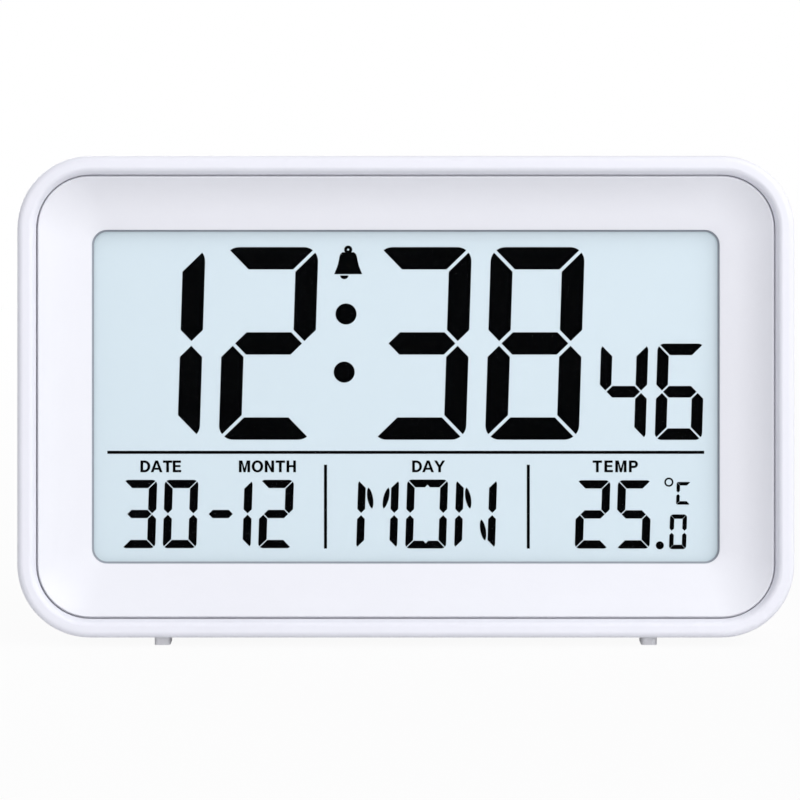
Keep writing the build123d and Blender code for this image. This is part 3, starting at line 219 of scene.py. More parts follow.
class Recipe(Nodes):
    """Node tree of one material, with the nodes that finishes share."""

    def __init__(self, name: str) -> None:
        """Start a material with one shader and its output.

        Args:
            name: Name of the material.
        """
        self.material = bpy.data.materials.new(name)
        self.material.use_nodes = True
        super().__init__(self.material.node_tree)
        self.shader = self.node("ShaderNodeBsdfPrincipled")
        self.output = self.node("ShaderNodeOutputMaterial")
        self.link(self.shader.outputs["BSDF"], self.output.inputs["Surface"])

    def place(self, stretch: Place = EVEN) -> Socket:
        """Object coordinates, stretched along the axes.

        Args:
            stretch: Factor along each axis.

        Returns:
            The socket that carries the coordinates.
        """
        coordinates = self.node("ShaderNodeTexCoord")
        mapping = self.node("ShaderNodeMapping")
        mapping.inputs["Scale"].default_value = stretch
        self.link(coordinates.outputs["Object"], mapping.inputs["Vector"])
        return mapping.outputs["Vector"]

    def texture(self, kind: str, scale: float, stretch: Place = EVEN) -> Socket:
        """Value of a texture on the object's coordinates.

        Args:
            kind: Kind of the texture node.
            scale: About how many features a metre holds.
            stretch: Factor along each axis.

        Returns:
            The socket that carries the value.
        """
        node = self.node(kind)
        node.inputs["Scale"].default_value = scale
        self.link(self.place(stretch), node.inputs["Vector"])
        return node.outputs["Fac"]

    def noise(self, scale: float, stretch: Place = EVEN) -> Socket:
        """Soft noise with features of about one over the scale, in metres."""
        return self.texture("ShaderNodeTexNoise", scale, stretch)

    def height(self, pattern: Pattern, scale: float) -> Socket:
        """The value between nought and one that a pattern takes over the surface.

        Args:
            pattern: Which pattern to draw.
            scale: Features in a metre.

        Returns:
            The socket that carries the value.
        """
        if pattern is Pattern.BRUSHED:
            return self.noise(scale, DRAWN_ALONG_X)
        if pattern is Pattern.STRIPED:
            return self.texture("ShaderNodeTexWave", scale)
        if pattern is Pattern.TRACKED:
            return self.texture("ShaderNodeTexBrick", scale)
        if pattern is Pattern.BANDED:
            return self.band(scale)
        return self.noise(scale)

    def band(self, scale: float) -> Socket:
        """Nought nearer to the middle of x than one over the scale, in metres, and one beyond.

        Args:
            scale: One over half the band's width.

        Returns:
            The socket that carries the value.
        """
        split = self.node("ShaderNodeSeparateXYZ")
        self.link(self.place(), split.inputs[0])
        away = self.maths("ABSOLUTE", split.outputs["X"])
        beyond = self.maths("GREATER_THAN", away.outputs[0])
        beyond.inputs[1].default_value = 1.0 / scale
        return beyond.outputs[0]

    def ramp(self, value: Socket, low: Colour, high: Colour) -> Socket:
        """Colour that runs from low to high with a value.

        Args:
            value: Socket that carries the value.
            low: Colour up to the start of the ramp's span.
            high: Colour from the end of the span on.

        Returns:
            The socket that carries the colour.
        """
        node = self.node("ShaderNodeValToRGB")
        for stop, position, colour in zip(node.color_ramp.elements, RAMP_SPAN, (low, high)):
            stop.position = position
            stop.color = (*colour, 1.0)
        self.link(value, node.inputs["Fac"])
        return node.outputs["Color"]

    def spread(self, value: Socket, span: Span) -> Socket:
        """Number that runs over a span with a value.

        Args:
            value: Socket that carries the value.
            span: Lowest and highest number.

        Returns:
            The socket that carries the number.
        """
        node = self.node("ShaderNodeMapRange")
        node.inputs["To Min"].default_value, node.inputs["To Max"].default_value = span
        self.link(value, node.inputs["Value"])
        return node.outputs["Result"]

    def bump(self, value: Socket, depth: float) -> Socket:
        """Normal of a surface raised by a value times a depth.

        Args:
            value: Socket that carries the value.
            depth: Depth in metres.

        Returns:
            The socket that carries the normal.
        """
        node = self.node("ShaderNodeBump")
        node.inputs["Distance"].default_value = depth
        self.link(value, node.inputs["Height"])
        return node.outputs["Normal"]


FINISHES: dict[str, Finish] = {
    "case_white": Finish((0.88, 0.882, 0.938), (0.865, 0.867, 0.923), specular=0.3),
    "bezel_white": Finish((0.87, 0.873, 0.913), (0.855, 0.858, 0.898), specular=0.3),
    # The tape's grey is partly the tape's own colour and partly painted shade: its dark ring is the
    # shadow line at the window's edge
    "tape_grey": Finish((0.32, 0.35, 0.39), (0.28, 0.31, 0.35), (0.7, 0.9), grain_depth=COARSE_GRAIN),
    "lens_clear": Finish(
        (0.02, 0.022, 0.025),
        (0.015, 0.017, 0.02),
        (0.03, 0.07),
        grain_depth=POLISHED,
        specular=0.05,
        alpha=0.02,
    ),
    # The film's glow is painted light: the film gives off light of its own colour, which lightens the
    # bezel's shadow on it
    "display_film": Finish((0.38, 0.45, 0.488), (0.374, 0.444, 0.482), (0.28, 0.34), glow=0.74),
    "display_glass": Finish(
        (0.30, 0.38, 0.38), (0.26, 0.34, 0.34), (0.05, 0.09), grain_depth=POLISHED, alpha=0.25
    ),
    "strip_rubber": Finish((0.62, 0.62, 0.64), (0.05, 0.05, 0.05), (0.6, 0.8), Pattern.STRIPED, 900.0),
    "holder_white": Finish((0.80, 0.80, 0.80), (0.77, 0.77, 0.77), (0.5, 0.6)),
    "guide_clear": Finish(
        (0.78, 0.82, 0.82), (0.74, 0.78, 0.78), (0.08, 0.15), grain_depth=POLISHED, alpha=0.4
    ),
    "lamp_resin": Finish((0.85, 0.82, 0.62), (0.80, 0.76, 0.55), (0.25, 0.35)),
    "board_green": Finish((0.02, 0.16, 0.06), (0.05, 0.26, 0.10), (0.3, 0.45), Pattern.TRACKED, 220.0),
    "screw_steel": Finish((0.62, 0.62, 0.64), (0.50, 0.50, 0.52), (0.25, 0.4), metallic=1.0),
    "chip_resin": Finish((0.02, 0.02, 0.022), (0.012, 0.012, 0.014), (0.3, 0.5)),
    "can_metal": Finish(
        (0.72, 0.72, 0.72), (0.6, 0.6, 0.6), (0.2, 0.32), Pattern.BRUSHED, 900.0, metallic=1.0
    ),
    "switch_black": Finish((0.03, 0.03, 0.032), (0.022, 0.022, 0.024), (0.45, 0.6)),
    "key_white": Finish((0.86, 0.868, 0.92), (0.845, 0.853, 0.905), (0.42, 0.5)),
    "key_grey": Finish((0.36, 0.37, 0.40), (0.33, 0.34, 0.37), (0.45, 0.55)),
    "ribbon_grey": Finish((0.55, 0.55, 0.58), (0.42, 0.42, 0.46), (0.5, 0.6), Pattern.STRIPED, 350.0),
    "buzzer_brass": Finish(
        (0.80, 0.60, 0.26), (0.66, 0.47, 0.18), (0.25, 0.4), Pattern.BRUSHED, 500.0, metallic=1.0
    ),
    "ceramic_white": Finish((0.82, 0.80, 0.76), (0.76, 0.74, 0.70), (0.5, 0.7)),
    "lead_black": Finish((0.025, 0.025, 0.025), (0.018, 0.018, 0.018), (0.4, 0.55)),
    "lead_red": Finish((0.52, 0.03, 0.03), (0.44, 0.02, 0.02), (0.4, 0.55)),
    "cell_jacket": Finish((0.52, 0.53, 0.55), (0.035, 0.05, 0.075), (0.22, 0.3), Pattern.BANDED, 85.0),
    "contact_nickel": Finish(
        (0.74, 0.72, 0.68), (0.62, 0.60, 0.56), (0.2, 0.35), Pattern.BRUSHED, 700.0, metallic=1.0
    ),
    "foot_rubber": Finish((0.90, 0.90, 0.91), (0.86, 0.86, 0.87), (0.7, 0.85), grain_depth=COARSE_GRAIN),
}
SEGMENT_INK = Finish((0.0012, 0.0013, 0.0015), (0.0008, 0.0009, 0.001), (0.5, 0.6), specular=0.0)


def show(thing: bpy.types.Object) -> None:
    """Put an object into the scene."""
    bpy.context.scene.collection.objects.link(thing)


def aim(thing: bpy.types.Object, place: np.ndarray, way: np.ndarray) -> None:
    """Put a lamp or camera at a place and point it along a way.

    Args:
        thing: The lamp or camera.
        place: Where it goes.
        way: Direction that it looks in.
    """
    thing.location = Vector(place)
    thing.rotation_mode = "QUATERNION"
    thing.rotation_quaternion = Vector(way).to_track_quat("-Z", "Y")


@dataclass(frozen=True)
class Face:
    """Axes of the leaning clock: right across its face, up it and back into it."""

    lean: float

    @classmethod
    def of_joint(cls, name: str) -> Face:
        """Read the lean from a key's joint, whose axis is square to the face.

        Args:
            name: Name of the joint.

        Returns:
            The axes of the face.
        """
        axis = next(joint["axis"] for joint in frame["joints"] if joint["name"] == name)
        return cls(math.atan2(axis[2], -axis[1]))

    @property
    def right(self) -> np.ndarray:
        """Unit vector across the face."""
        return np.array([1.0, 0.0, 0.0])

    @property
    def up(self) -> np.ndarray:
        """Unit vector up the face."""
        return np.array([0.0, math.sin(self.lean), math.cos(self.lean)])

    @property
    def back(self) -> np.ndarray:
        """Unit vector into the clock."""
        return np.array([0.0, math.cos(self.lean), -math.sin(self.lean)])

    def plate_front(self, node: str) -> np.ndarray:
        """Middle of the front of a flat plate that lies parallel to the face.

        The plate's box is its height and thickness turned by the lean, which two equations undo.

        Args:
            node: Name of the plate's node.

        Returns:
            The point, in metres.
        """
        low, high = (np.array(corner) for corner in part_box(node))
        size = high - low
        cosine, sine = math.cos(self.lean), math.sin(self.lean)
        thickness = (size[1] * cosine - size[2] * sine) / (cosine**2 - sine**2)
        return (low + high) / 2 - self.back * thickness / 2

    def crown_depth(self, node: str) -> float:
        """Least distance of a node's points along the way into the clock.

        Args:
            node: Name of the node.

        Returns:
            The distance, in metres.
        """
        mesh = frame["nodes"][node].data
        flat = np.empty(3 * len(mesh.vertices), np.float32)
        mesh.vertices.foreach_get("co", flat)
        return float((flat.reshape(-1, 3) @ self.back).min())


def circle(start: float, end: float, count: int) -> np.ndarray:
    """Points of the unit circle between two angles."""
    angles = np.linspace(start, end, count)
    return np.stack([np.cos(angles), np.sin(angles)], axis=1)


def whole_circle(count: int) -> np.ndarray:
    """Points all round the unit circle, none of them twice."""
    return circle(0.0, 2 * math.pi, count + 1)[:-1]


def mirrored(half: np.ndarray, middle: float = 0.0, valley: float | None = None) -> np.ndarray:
    """Outline made of its right half, given upwards, and the same half mirrored, downwards.

    Args:
        half: Points of the right half.
        middle: Place of the middle line.
        valley: Height of one more point, on the middle line between the two halves.

    Returns:
        Points of the outline, anticlockwise.
    """
    between = np.empty((0, 2)) if valley is None else np.array([[middle, valley]])
    other = half * [-1, 1] + [2 * middle, 0]
    return np.concatenate([half, between, other[::-1]])


def leaf(ends: tuple[Point, Point], bulge: float) -> np.ndarray:
    """Outline of a blunt leaf, anticlockwise from its upper end.

    Each side leaves the straight line between the ends by the bulge times a power of the sine
    of the way along, and the power under one makes the ends blunt.

    Args:
        ends: Upper and lower end.
        bulge: How far each side stands out.

    Returns:
        Points of the outline.
    """
    upper, lower = np.array(ends[0]), np.array(ends[1])
    along = np.linspace(0.0, 1.0, LEAF_POINTS)[:, None]
    chord = upper + along * (lower - upper)
    step = (lower - upper) / np.linalg.norm(lower - upper)
    left = np.array([step[1], -step[0]])
    swell = bulge * np.clip(np.sin(math.pi * along), 0.0, 1.0) ** LEAF_POWER
    return np.concatenate([chord + left * swell, (chord - left * swell)[-2:0:-1]])


@dataclass(frozen=True)
class SegmentFont:
    """Shape of a segment display's figures, in millimetres, with the slant in degrees."""

    width: float
    height: float
    stroke: float
    gap: float
    corner: float
    waist: float
    slant: float = 1.8

    @property
    def bar_edge(self) -> float:
        """Height of the inner edge of the top bar over the middle."""
        return self.height / 2 - self.stroke

    def outlines(self) -> dict[str, np.ndarray]:
        """Outline of each segment, anticlockwise, about the middle of the figure.

        Neighbouring segments meet at forty-five degrees with a gap between them. The outer
        corners lie on an arc, which each mitre cuts where the arc's two offsets differ by the gap.
        The tips of the side segments stop at the waist, above and below the middle.

        Returns:
            Points of each segment by its letter, a at the top, then clockwise to f, and g across.
        """
        half_width, half_height = self.width / 2, self.height / 2
        away = self.gap / math.sqrt(2)
        inner = half_width - self.stroke
        flat = inner - away
        mitre = math.acos(-away / (self.corner * math.sqrt(2))) - math.pi / 4
        centre = np.array([half_width - self.corner, half_height - self.corner])
        top_arc = centre + self.corner * circle(mitre, math.pi / 2, CORNER_POINTS)
        side_arc = centre + self.corner * circle(0.0, math.pi / 2 - mitre, CORNER_POINTS)
        top = mirrored(np.concatenate([[[flat, self.bar_edge]], top_arc]))
        rise = self.stroke / 2
        shoulder = self.waist + rise
        start = [[half_width - rise, self.waist], [half_width, shoulder]]
        end = [[inner, self.bar_edge - away], [inner, shoulder]]
        side = np.concatenate([start, side_arc, end])
        return {
            "a": top,
            "b": side,
            "c": (side * [1, -1])[::-1],
            "d": (top * [1, -1])[::-1],
            "e": side * [-1, -1],
            "f": (side * [-1, 1])[::-1],
            "g": mirrored(np.array([[flat, -rise], [flat + rise, 0.0], [flat, rise]])),
        }

    def slanted(self, points: np.ndarray) -> np.ndarray:
        """Lean points to the right by their height."""
        return points + np.outer(points[:, 1], [math.tan(math.radians(self.slant)), 0.0])


SEGMENTS: dict[str, str] = {
    "0": "abcdef",
    "1": "bc",
    "2": "abged",
    "3": "abgcd",
    "4": "fgbc",
    "5": "afgcd",
    "6": "afgedc",
    "8": "abcdefg",
    "-": "g",
    "C": "afed",
    "M": "bcef",
    "N": "bcef",
}


@dataclass
class Art:
    """Flat marks gathered as thin closed prisms, to become one piece of the display.

    Low and high are the heights of their back and front over the film.
    """

    low: float
    high: float
    points: list[np.ndarray] = field(default_factory=list)
    faces: Faces = field(default_factory=list)
    count: int = 0

    def add(self, points: np.ndarray, faces: Faces) -> None:
        """Take in a mesh.

        Args:
            points: Points across, up and over the film.
            faces: Faces that they carry, by the number of each point.
        """
        self.points.append(points)
        self.faces += [[index + self.count for index in face] for face in faces]
        self.count += len(points)

    def layers(self, flat: np.ndarray) -> np.ndarray:
        """Points at the height of the front, then the same points at the height of the back."""
        return np.concatenate([np.insert(flat, 2, height, axis=1) for height in (self.high, self.low)])

    def prism(self, outline: np.ndarray) -> None:
        """A closed prism on an outline: the outline at two heights, joined by a band.

        Args:
            outline: Points across and up, anticlockwise.
        """
        size = len(outline)
        here = np.arange(size)
        following = (here + 1) % size
        band = np.stack([here, here + size, following + size, following], axis=1)
        caps = [here.tolist(), (here[::-1] + size).tolist()]
        self.add(self.layers(outline), caps + band.tolist())

    def pierced(self, outline: np.ndarray, hole: np.ndarray, seams: Seams) -> None:
        """A closed prism with a hole: two bands, and caps that two seams cut in halves.

        Each half of a cap runs along the outline from one seam to the other and back along the hole.

        Args:
            outline: Points across and up, anticlockwise.
            hole: Points of the hole, anticlockwise too.
            seams: Two pairs of a point on the outline and the point on the hole that it joins.
        """
        outer, inner = len(outline), len(hole)
        size = outer + inner
        faces: Faces = []
        for (start, hole_start), (end, hole_end) in (seams, seams[::-1]):
            along = (start + np.arange((end - start) % outer + 1)) % outer
            back = outer + (hole_end - np.arange((hole_end - hole_start) % inner + 1)) % inner
            half = np.concatenate([along, back])
            faces += [half.tolist(), (half[::-1] + size).tolist()]
        here = np.arange(size)
        following = np.concatenate([(here[:outer] + 1) % outer, outer + (here[:inner] + 1) % inner])
        band = np.stack([here, here + size, following + size, following], axis=1)
        band[outer:] = band[outer:, ::-1]
        self.add(self.layers(np.concatenate([outline, hole])), faces + band.tolist())

    def dot(self, centre: Point, radius: float) -> None:
        """A round mark: a prism on a circle."""
        self.prism(radius * whole_circle(DOT_POINTS) + centre)

    def ring(self, centre: Point, radii: Span) -> None:
        """A flat ring: a rectangle carried round a circle.

        Args:
            centre: Middle of the ring.
            radii: Inner and outer radius.
        """
        inner, outer = radii
        around = whole_circle(DOT_POINTS)
        profile = np.array([[outer, self.high], [inner, self.high], [inner, self.low], [outer, self.low]])
        sides = len(profile)
        flat = around[:, None, :] * profile[None, :, :1] + centre
        raised = np.broadcast_to(profile[None, :, 1:], (DOT_POINTS, sides, 1))
        grid = np.concatenate([flat, raised], axis=2).reshape(-1, 3)
        step, side = np.divmod(np.arange(DOT_POINTS * sides), sides)
        here = step * sides
        ahead = (step + 1) % DOT_POINTS * sides
        over = (side + 1) % sides
        quads = np.stack([here + side, ahead + side, ahead + over, here + over], axis=1)
        self.add(grid, quads.tolist())

    def bar(self, across: Span, up: Span) -> None:
        """A rectangle, from its left to its right and from its base to its top.

        Args:
            across: Places of the left and right side.
            up: Heights of the base and top.
        """
        (left, right), (base, top) = across, up
        self.prism(np.array([[left, base], [right, base], [right, top], [left, top]]))


@dataclass(frozen=True)
class Letter:
    """Bold capital one unit high: its outline and, in some, a hole joined to it by two seams."""

    width: float
    outline: np.ndarray
    hole: np.ndarray | None = None
    seams: Seams = ((0, 0), (0, 0))

    def stamp(self, art: Art, height: float, place: Point) -> None:
        """Add the letter to gathered marks.

        Args:
            art: Where the marks go.
            height: Height of the letter.
            place: Its lower left corner.
        """
        outline = self.outline * height + place
        if self.hole is None:
            art.prism(outline)
        else:
            art.pierced(outline, self.hole * height + place, self.seams)


@dataclass(frozen=True)
class Capitals:
    """Shapes of the capitals that the labels need, in shares of their height.

    Straight letters are polygons, and the bowls of D, O and P are arcs of ellipses. The first
    three values are shared, and a value of one letter starts with its name. A middle is the lower
    and upper edge of a level stroke between base and top.
    """

    stem: float = 0.235
    bar: float = 0.195
    width: float = 0.8
    a_width: float = 1.0
    a_foot: float = 0.23
    a_peak: float = 0.12
    a_middle: Span = (0.21, 0.38)
    a_spread: Span = (0.188, 0.13)
    a_apex: float = 0.77
    d_straight: float = 0.36
    d_reach: float = 0.48
    e_arms: tuple[float, float, float] = (0.72, 0.66, 0.7)
    e_middle: Span = (0.44, 0.61)
    h_middle: Span = (0.43, 0.61)
    m_width: float = 0.96
    m_point: float = 0.09
    m_joint: float = 0.74
    m_arm: float = 0.29
    m_valley: float = 0.33
    n_joint: float = 0.64
    o_radii: Span = (0.49, 0.515)
    p_base: float = 0.36
    p_straight: float = 0.45
    p_reach: float = 0.32
    y_width: float = 0.94
    y_fork: float = 0.42
    y_arm: float = 0.24
    y_valley: float = 0.62

    def letters(self) -> dict[str, Letter]:
        """Make every letter.

        Returns:
            Each letter by its character.
        """
        return {
            "A": self.letter_a(),
            "D": self.letter_d(),
            "E": self.letter_e(),
            "H": self.letter_h(),
            "M": self.letter_m(),
            "N": self.letter_n(),
            "O": self.letter_o(),
            "P": self.letter_p(),
            "T": self.letter_t(),
            "Y": self.letter_y(),
        }

    def bowl(self, straight: float, reach: float, base: float) -> tuple[np.ndarray, np.ndarray]:
        """Bowl between a base and the top: two half ellipses, a stroke apart.

        Args:
            straight: Length of its level strokes, up to the middle of the ellipses.
            reach: How far it stands out from there.
            base: Height of its lower edge.

        Returns:
            The outer arc, and the outline of the hole.
        """
        arc = circle(-math.pi / 2, math.pi / 2, BOWL_POINTS)
        rise = (1 - base) / 2
        centre = [straight, base + rise]
        inner = arc * [reach - self.stem, rise - self.bar] + centre
        hole = np.concatenate([[[self.stem, base + self.bar]], inner, [[self.stem, 1 - self.bar]]])
        return arc * [reach, rise] + centre, hole

    def letter_a(self) -> Letter:
        """Two slanted legs, and a level stroke under a hole of three corners.

        Returns:
            The letter.
        """
        middle = self.a_width / 2
        low, high = self.a_middle
        under, over = self.a_spread
        foot = [[self.a_width - self.a_foot, 0], [self.a_width, 0]]
        half = np.array([[middle + under, low], *foot, [middle + self.a_peak, 1]])
        outline = mirrored(half, middle)
        hole = np.array([[middle - over, high], [middle + over, high], [middle, self.a_apex]])
        seams = ((len(outline) - 1, 0), (len(half) - 1, len(hole) - 1))
        return Letter(self.a_width, outline, hole, seams)

    def letter_d(self) -> Letter:
        """A stem with a bowl of its whole height.

        Returns:
            The letter.
        """
        arc, hole = self.bowl(self.d_straight, self.d_reach, 0.0)
        outline = np.concatenate([[[0, 0]], arc, [[0, 1]]])
        seams = ((0, 0), (len(outline) - 1, len(hole) - 1))
        return Letter(self.d_straight + self.d_reach, outline, hole, seams)

    def letter_e(self) -> Letter:
        """A stem with three arms.

        Returns:
            The letter.
        """
        foot, arm, head = self.e_arms
        low, high = self.e_middle
        base = [[0, 0], [foot, 0], [foot, self.bar], [self.stem, self.bar]]
        middle = [[self.stem, low], [arm, low], [arm, high], [self.stem, high]]
        top = [[self.stem, 1 - self.bar], [head, 1 - self.bar], [head, 1], [0, 1]]
        return Letter(foot, np.array(base + middle + top))

    def letter_h(self) -> Letter:
        """Two stems with a level stroke between them.

        Returns:
            The letter.
        """
        low, high = self.h_middle
        inner = self.width - self.stem
        stem = [[inner, 0], [self.width, 0], [self.width, 1], [inner, 1]]
        half = np.array([[inner, low], *stem, [inner, high]])
        return Letter(self.width, mirrored(half, self.width / 2))

    def letter_m(self) -> Letter:
        """Two stems with a pointed stroke between them.

        Returns:
            The letter.
        """
        middle = self.m_width / 2
        inner = self.m_width - self.stem
        stem = [[inner, 0], [self.m_width, 0], [self.m_width, 1], [self.m_width - self.m_arm, 1]]
        half = np.array([[middle + self.m_point, 0], [inner, self.m_joint], *stem])
        return Letter(self.m_width, mirrored(half, middle, self.m_valley))

    def letter_n(self) -> Letter:
        """Two stems with a slant, the same when it is turned by half a turn.

        Returns:
            The letter.
        """
        inner = self.width - self.stem
        half = np.array([[0, 0], [self.stem, 0], [self.stem, self.n_joint], [inner, 0], [self.width, 0]])
        return Letter(self.width, np.concatenate([half, [self.width, 1] - half]))

    def letter_o(self) -> Letter:
        """Two ellipses, a stroke apart.

        Returns:
            The letter.
        """
        radii = np.array(self.o_radii)
        middle = self.o_radii[0]
        centre = [middle, 1 / 2]
        around = whole_circle(OVAL_POINTS)
        hole = around * (radii - [self.stem, self.bar]) + centre
        opposite = OVAL_POINTS // 2
        seams = ((0, 0), (opposite, opposite))
        return Letter(2 * middle, around * radii + centre, hole, seams)

    def letter_p(self) -> Letter:
        """A stem with a bowl over its base.

        Returns:
            The letter.
        """
        arc, hole = self.bowl(self.p_straight, self.p_reach, self.p_base)
        foot = [[0, 0], [self.stem, 0], [self.stem, self.p_base]]
        outline = np.concatenate([foot, arc, [[0, 1]]])
        seams = ((len(foot) - 1, 0), (len(outline) - 1, len(hole) - 1))
        return Letter(self.p_straight + self.p_reach, outline, hole, seams)

    def letter_t(self) -> Letter:
        """A stem under a level stroke.

        Returns:
            The letter.
        """
        middle = self.width / 2
        side = middle + self.stem / 2
        half = [[side, 0], [side, 1 - self.bar], [self.width, 1 - self.bar], [self.width, 1]]
        return Letter(self.width, mirrored(np.array(half), middle))

    def letter_y(self) -> Letter:
        """A stem that forks into two arms.

        Returns:
            The letter.
        """
        middle = self.y_width / 2
        side = middle + self.stem / 2
        half = [[side, 0], [side, self.y_fork], [self.y_width, 1], [self.y_width - self.y_arm, 1]]
        return Letter(self.y_width, mirrored(np.array(half), middle, self.y_valley))


@dataclass(frozen=True)
class Word:
    """A label: its text, and in millimetres the place of its middle across the film and its width."""

    text: str
    middle: float
    width: float


@dataclass(frozen=True)
class Bell:
    """Bell sign, in millimetres: its place on the film, and its shape from there."""

    place: Point = (-10.28, 23.77)
    flare: tuple[Point, ...] = ((2.5, -1.88), (2.22, -1.18), (1.93, -0.44))
    crown: tuple[Point, ...] = ((1.7, 0.45), (1.56, 1.24), (1.4, 1.7), (1.05, 2.03))
    clapper_radii: Span = (0.75, 0.66)
    clapper_place: Point = (-0.7, -2.11)
    loop_rise: float = 2.5
    loop_radii: Span = (0.18, 0.73)

    def stamp(self, art: Art) -> None:
        """Add the bell: a half outline mirrored, half an ellipse below it and a ring on top.

        Args:
            art: Where the marks go.
        """
        across, height = self.place
        art.prism(mirrored(np.array(self.flare + self.crown)) + self.place)
        clapper = circle(math.pi, 2 * math.pi, CLAPPER_POINTS) * self.clapper_radii
        art.prism(clapper + self.clapper_place + self.place)
        art.ring((across, height + self.loop_rise), self.loop_radii)


@dataclass(frozen=True)
class DisplayArt:
    """Everything that the display shows, in millimetres from the middle of the film."""

    low: float = 0.02
    high: float = 0.07
    time_font: SegmentFont = SegmentFont(16.75, 34.4, stroke=3.98, gap=0.58, corner=2.6, waist=0.42)
    seconds_font: SegmentFont = SegmentFont(8.45, 17.2, stroke=2.06, gap=0.29, corner=1.25, waist=0.22)
    date_font: SegmentFont = SegmentFont(6.02, 12.2, stroke=1.47, gap=0.16, corner=0.9, waist=0.12)
    day_font: SegmentFont = SegmentFont(7.3, 12.3, stroke=1.38, gap=0.16, corner=0.85, waist=0.2)
    tenths_font: SegmentFont = SegmentFont(3.05, 6.2, stroke=0.78, gap=0.04, corner=0.6, waist=0.18)
    unit_font: SegmentFont = SegmentFont(2.5, 4.05, stroke=0.62, gap=0.04, corner=0.35, waist=0.12)
    time_height: float = 9.52
    hours_middle: float = -34.59
    minutes_middle: float = 12.98
    time_pitch: float = 20.17
    colon_place: Point = (-10.83, 9.59)
    colon_spread: float = 5.19
    colon_radius: float = 1.88
    seconds_middle: Point = (43.9, 0.89)
    seconds_pitch: float = 10.1
    row_height: float = -20.95
    row_pitch: float = 7.36
    date_middle: float = -43.9
    month_middle: float = -26.85
    dash_place: float = -33.05
    day_middle: float = 3.73
    day_pitch: float = 8.75
    blade_ends: tuple[Point, Point] = ((-1.82, 4.75), (-1.02, 0.95))
    blade_bulge: float = 0.5
    notch_width: float = 0.9
    notch_depth: float = 0.45
    degrees_place: Point = (37.05, -21.02)
    point_place: Point = (45.38, -26.55)
    point_radius: float = 0.72
    tenths_place: Point = (48.64, -24.12)
    unit_place: Point = (49.59, -17.25)
    ring_place: Point = (47.0, -15.26)
    ring_radii: Span = (0.52, 0.82)
    line_thickness: float = 0.54
    line_reach: float = 53.3
    line_height: float = -9.93
    divider_places: Span = (-14.33, 21.89)
    divider_ends: Span = (-27.12, -12.14)
    label_height: float = 2.1
    label_base: float = -13.49
    words: tuple[Word, ...] = (
        Word("DATE", -43.75, 7.28),
        Word("MONTH", -24.71, 10.19),
        Word("DAY", 4.09, 5.9),
        Word("TEMP", 37.43, 8.1),
    )

    def build(self, face: Face) -> list[bpy.types.Object]:
        """Make the pieces of the display.

        Args:
            face: Axes of the leaning clock.

        Returns:
            The new objects.
        """
        pieces = {
            "time_digits": self.time,
            "seconds_digits": self.seconds,
            "alarm_bell": Bell().stamp,
            "date_digits": self.date,
            "day_letters": self.day,
            "temperature_digits": self.temperature,
            "display_lines": self.lines,
            "display_labels": self.labels,
        }
        origin = face.plate_front("polariser_film")
        ink = SEGMENT_INK.material("segment_ink")
        made = []
        for name, draw in pieces.items():
            art = Art(self.low, self.high)
            draw(art)
            piece = bpy.data.objects.new(name, self.mesh(name, art, face, origin))
            made.append(self.dress(piece, ink))
        return made

    def mesh(self, name: str, art: Art, face: Face, origin: np.ndarray) -> bpy.types.Mesh:
        """Turn gathered marks into a mesh on the film.

        A mark's point is the origin plus its distances across, up and towards the viewer.

        Args:
            name: Name of the mesh.
            art: The marks.
            face: Axes of the clock.
            origin: Middle of the film's front.

        Returns:
            The new mesh.
        """
        local = np.concatenate(art.points) * MM
        world = origin + local @ np.stack([face.right, face.up, -face.back])
        mesh = bpy.data.meshes.new(name)
        mesh.from_pydata(world.tolist(), [], art.faces)
        mesh.validate()
        return mesh

    def dress(self, piece: bpy.types.Object, ink: bpy.types.Material) -> bpy.types.Object:
        """Give a piece its ink and let it ride on the case.

        Args:
            piece: The object.
            ink: Its material.

        Returns:
            The same object.
        """
        show(piece)
        piece.data.materials.append(ink)
        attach(piece, "case")
        return piece

    def write(self, art: Art, font: SegmentFont, text: str, middle: Point, pitch: float) -> None:
        """Add a row of figures.

        Args:
            art: Where the marks go.
            font: Shape of the figures.
            text: Characters of the row.
            middle: Place of the row's middle, across and up the film.
            pitch: Distance from one figure to the next.
        """
        outlines = font.outlines()
        for index, character in enumerate(text):
            shift = [(index - (len(text) - 1) / 2) * pitch, 0.0]
            for segment in SEGMENTS[character]:
                art.prism(font.slanted(outlines[segment]) + shift + middle)

    def time(self, art: Art) -> None:
        """Hours and minutes with the colon between them.

        Args:
            art: Where the marks go.
        """
        for text, middle in (("12", self.hours_middle), ("38", self.minutes_middle)):
            self.write(art, self.time_font, text, (middle, self.time_height), self.time_pitch)
        spread = np.array([[0.0, self.colon_spread], [0.0, -self.colon_spread]])
        for place in self.time_font.slanted(spread) + self.colon_place:
            art.dot(place, self.colon_radius)

    def seconds(self, art: Art) -> None:
        """Seconds, at the right of the time."""
        self.write(art, self.seconds_font, "46", self.seconds_middle, self.seconds_pitch)

    def date(self, art: Art) -> None:
        """Date and month with the dash between them."""
        for text, middle in (("30", self.date_middle), ("12", self.month_middle), ("-", self.dash_place)):
            self.write(art, self.date_font, text, (middle, self.row_height), self.row_pitch)

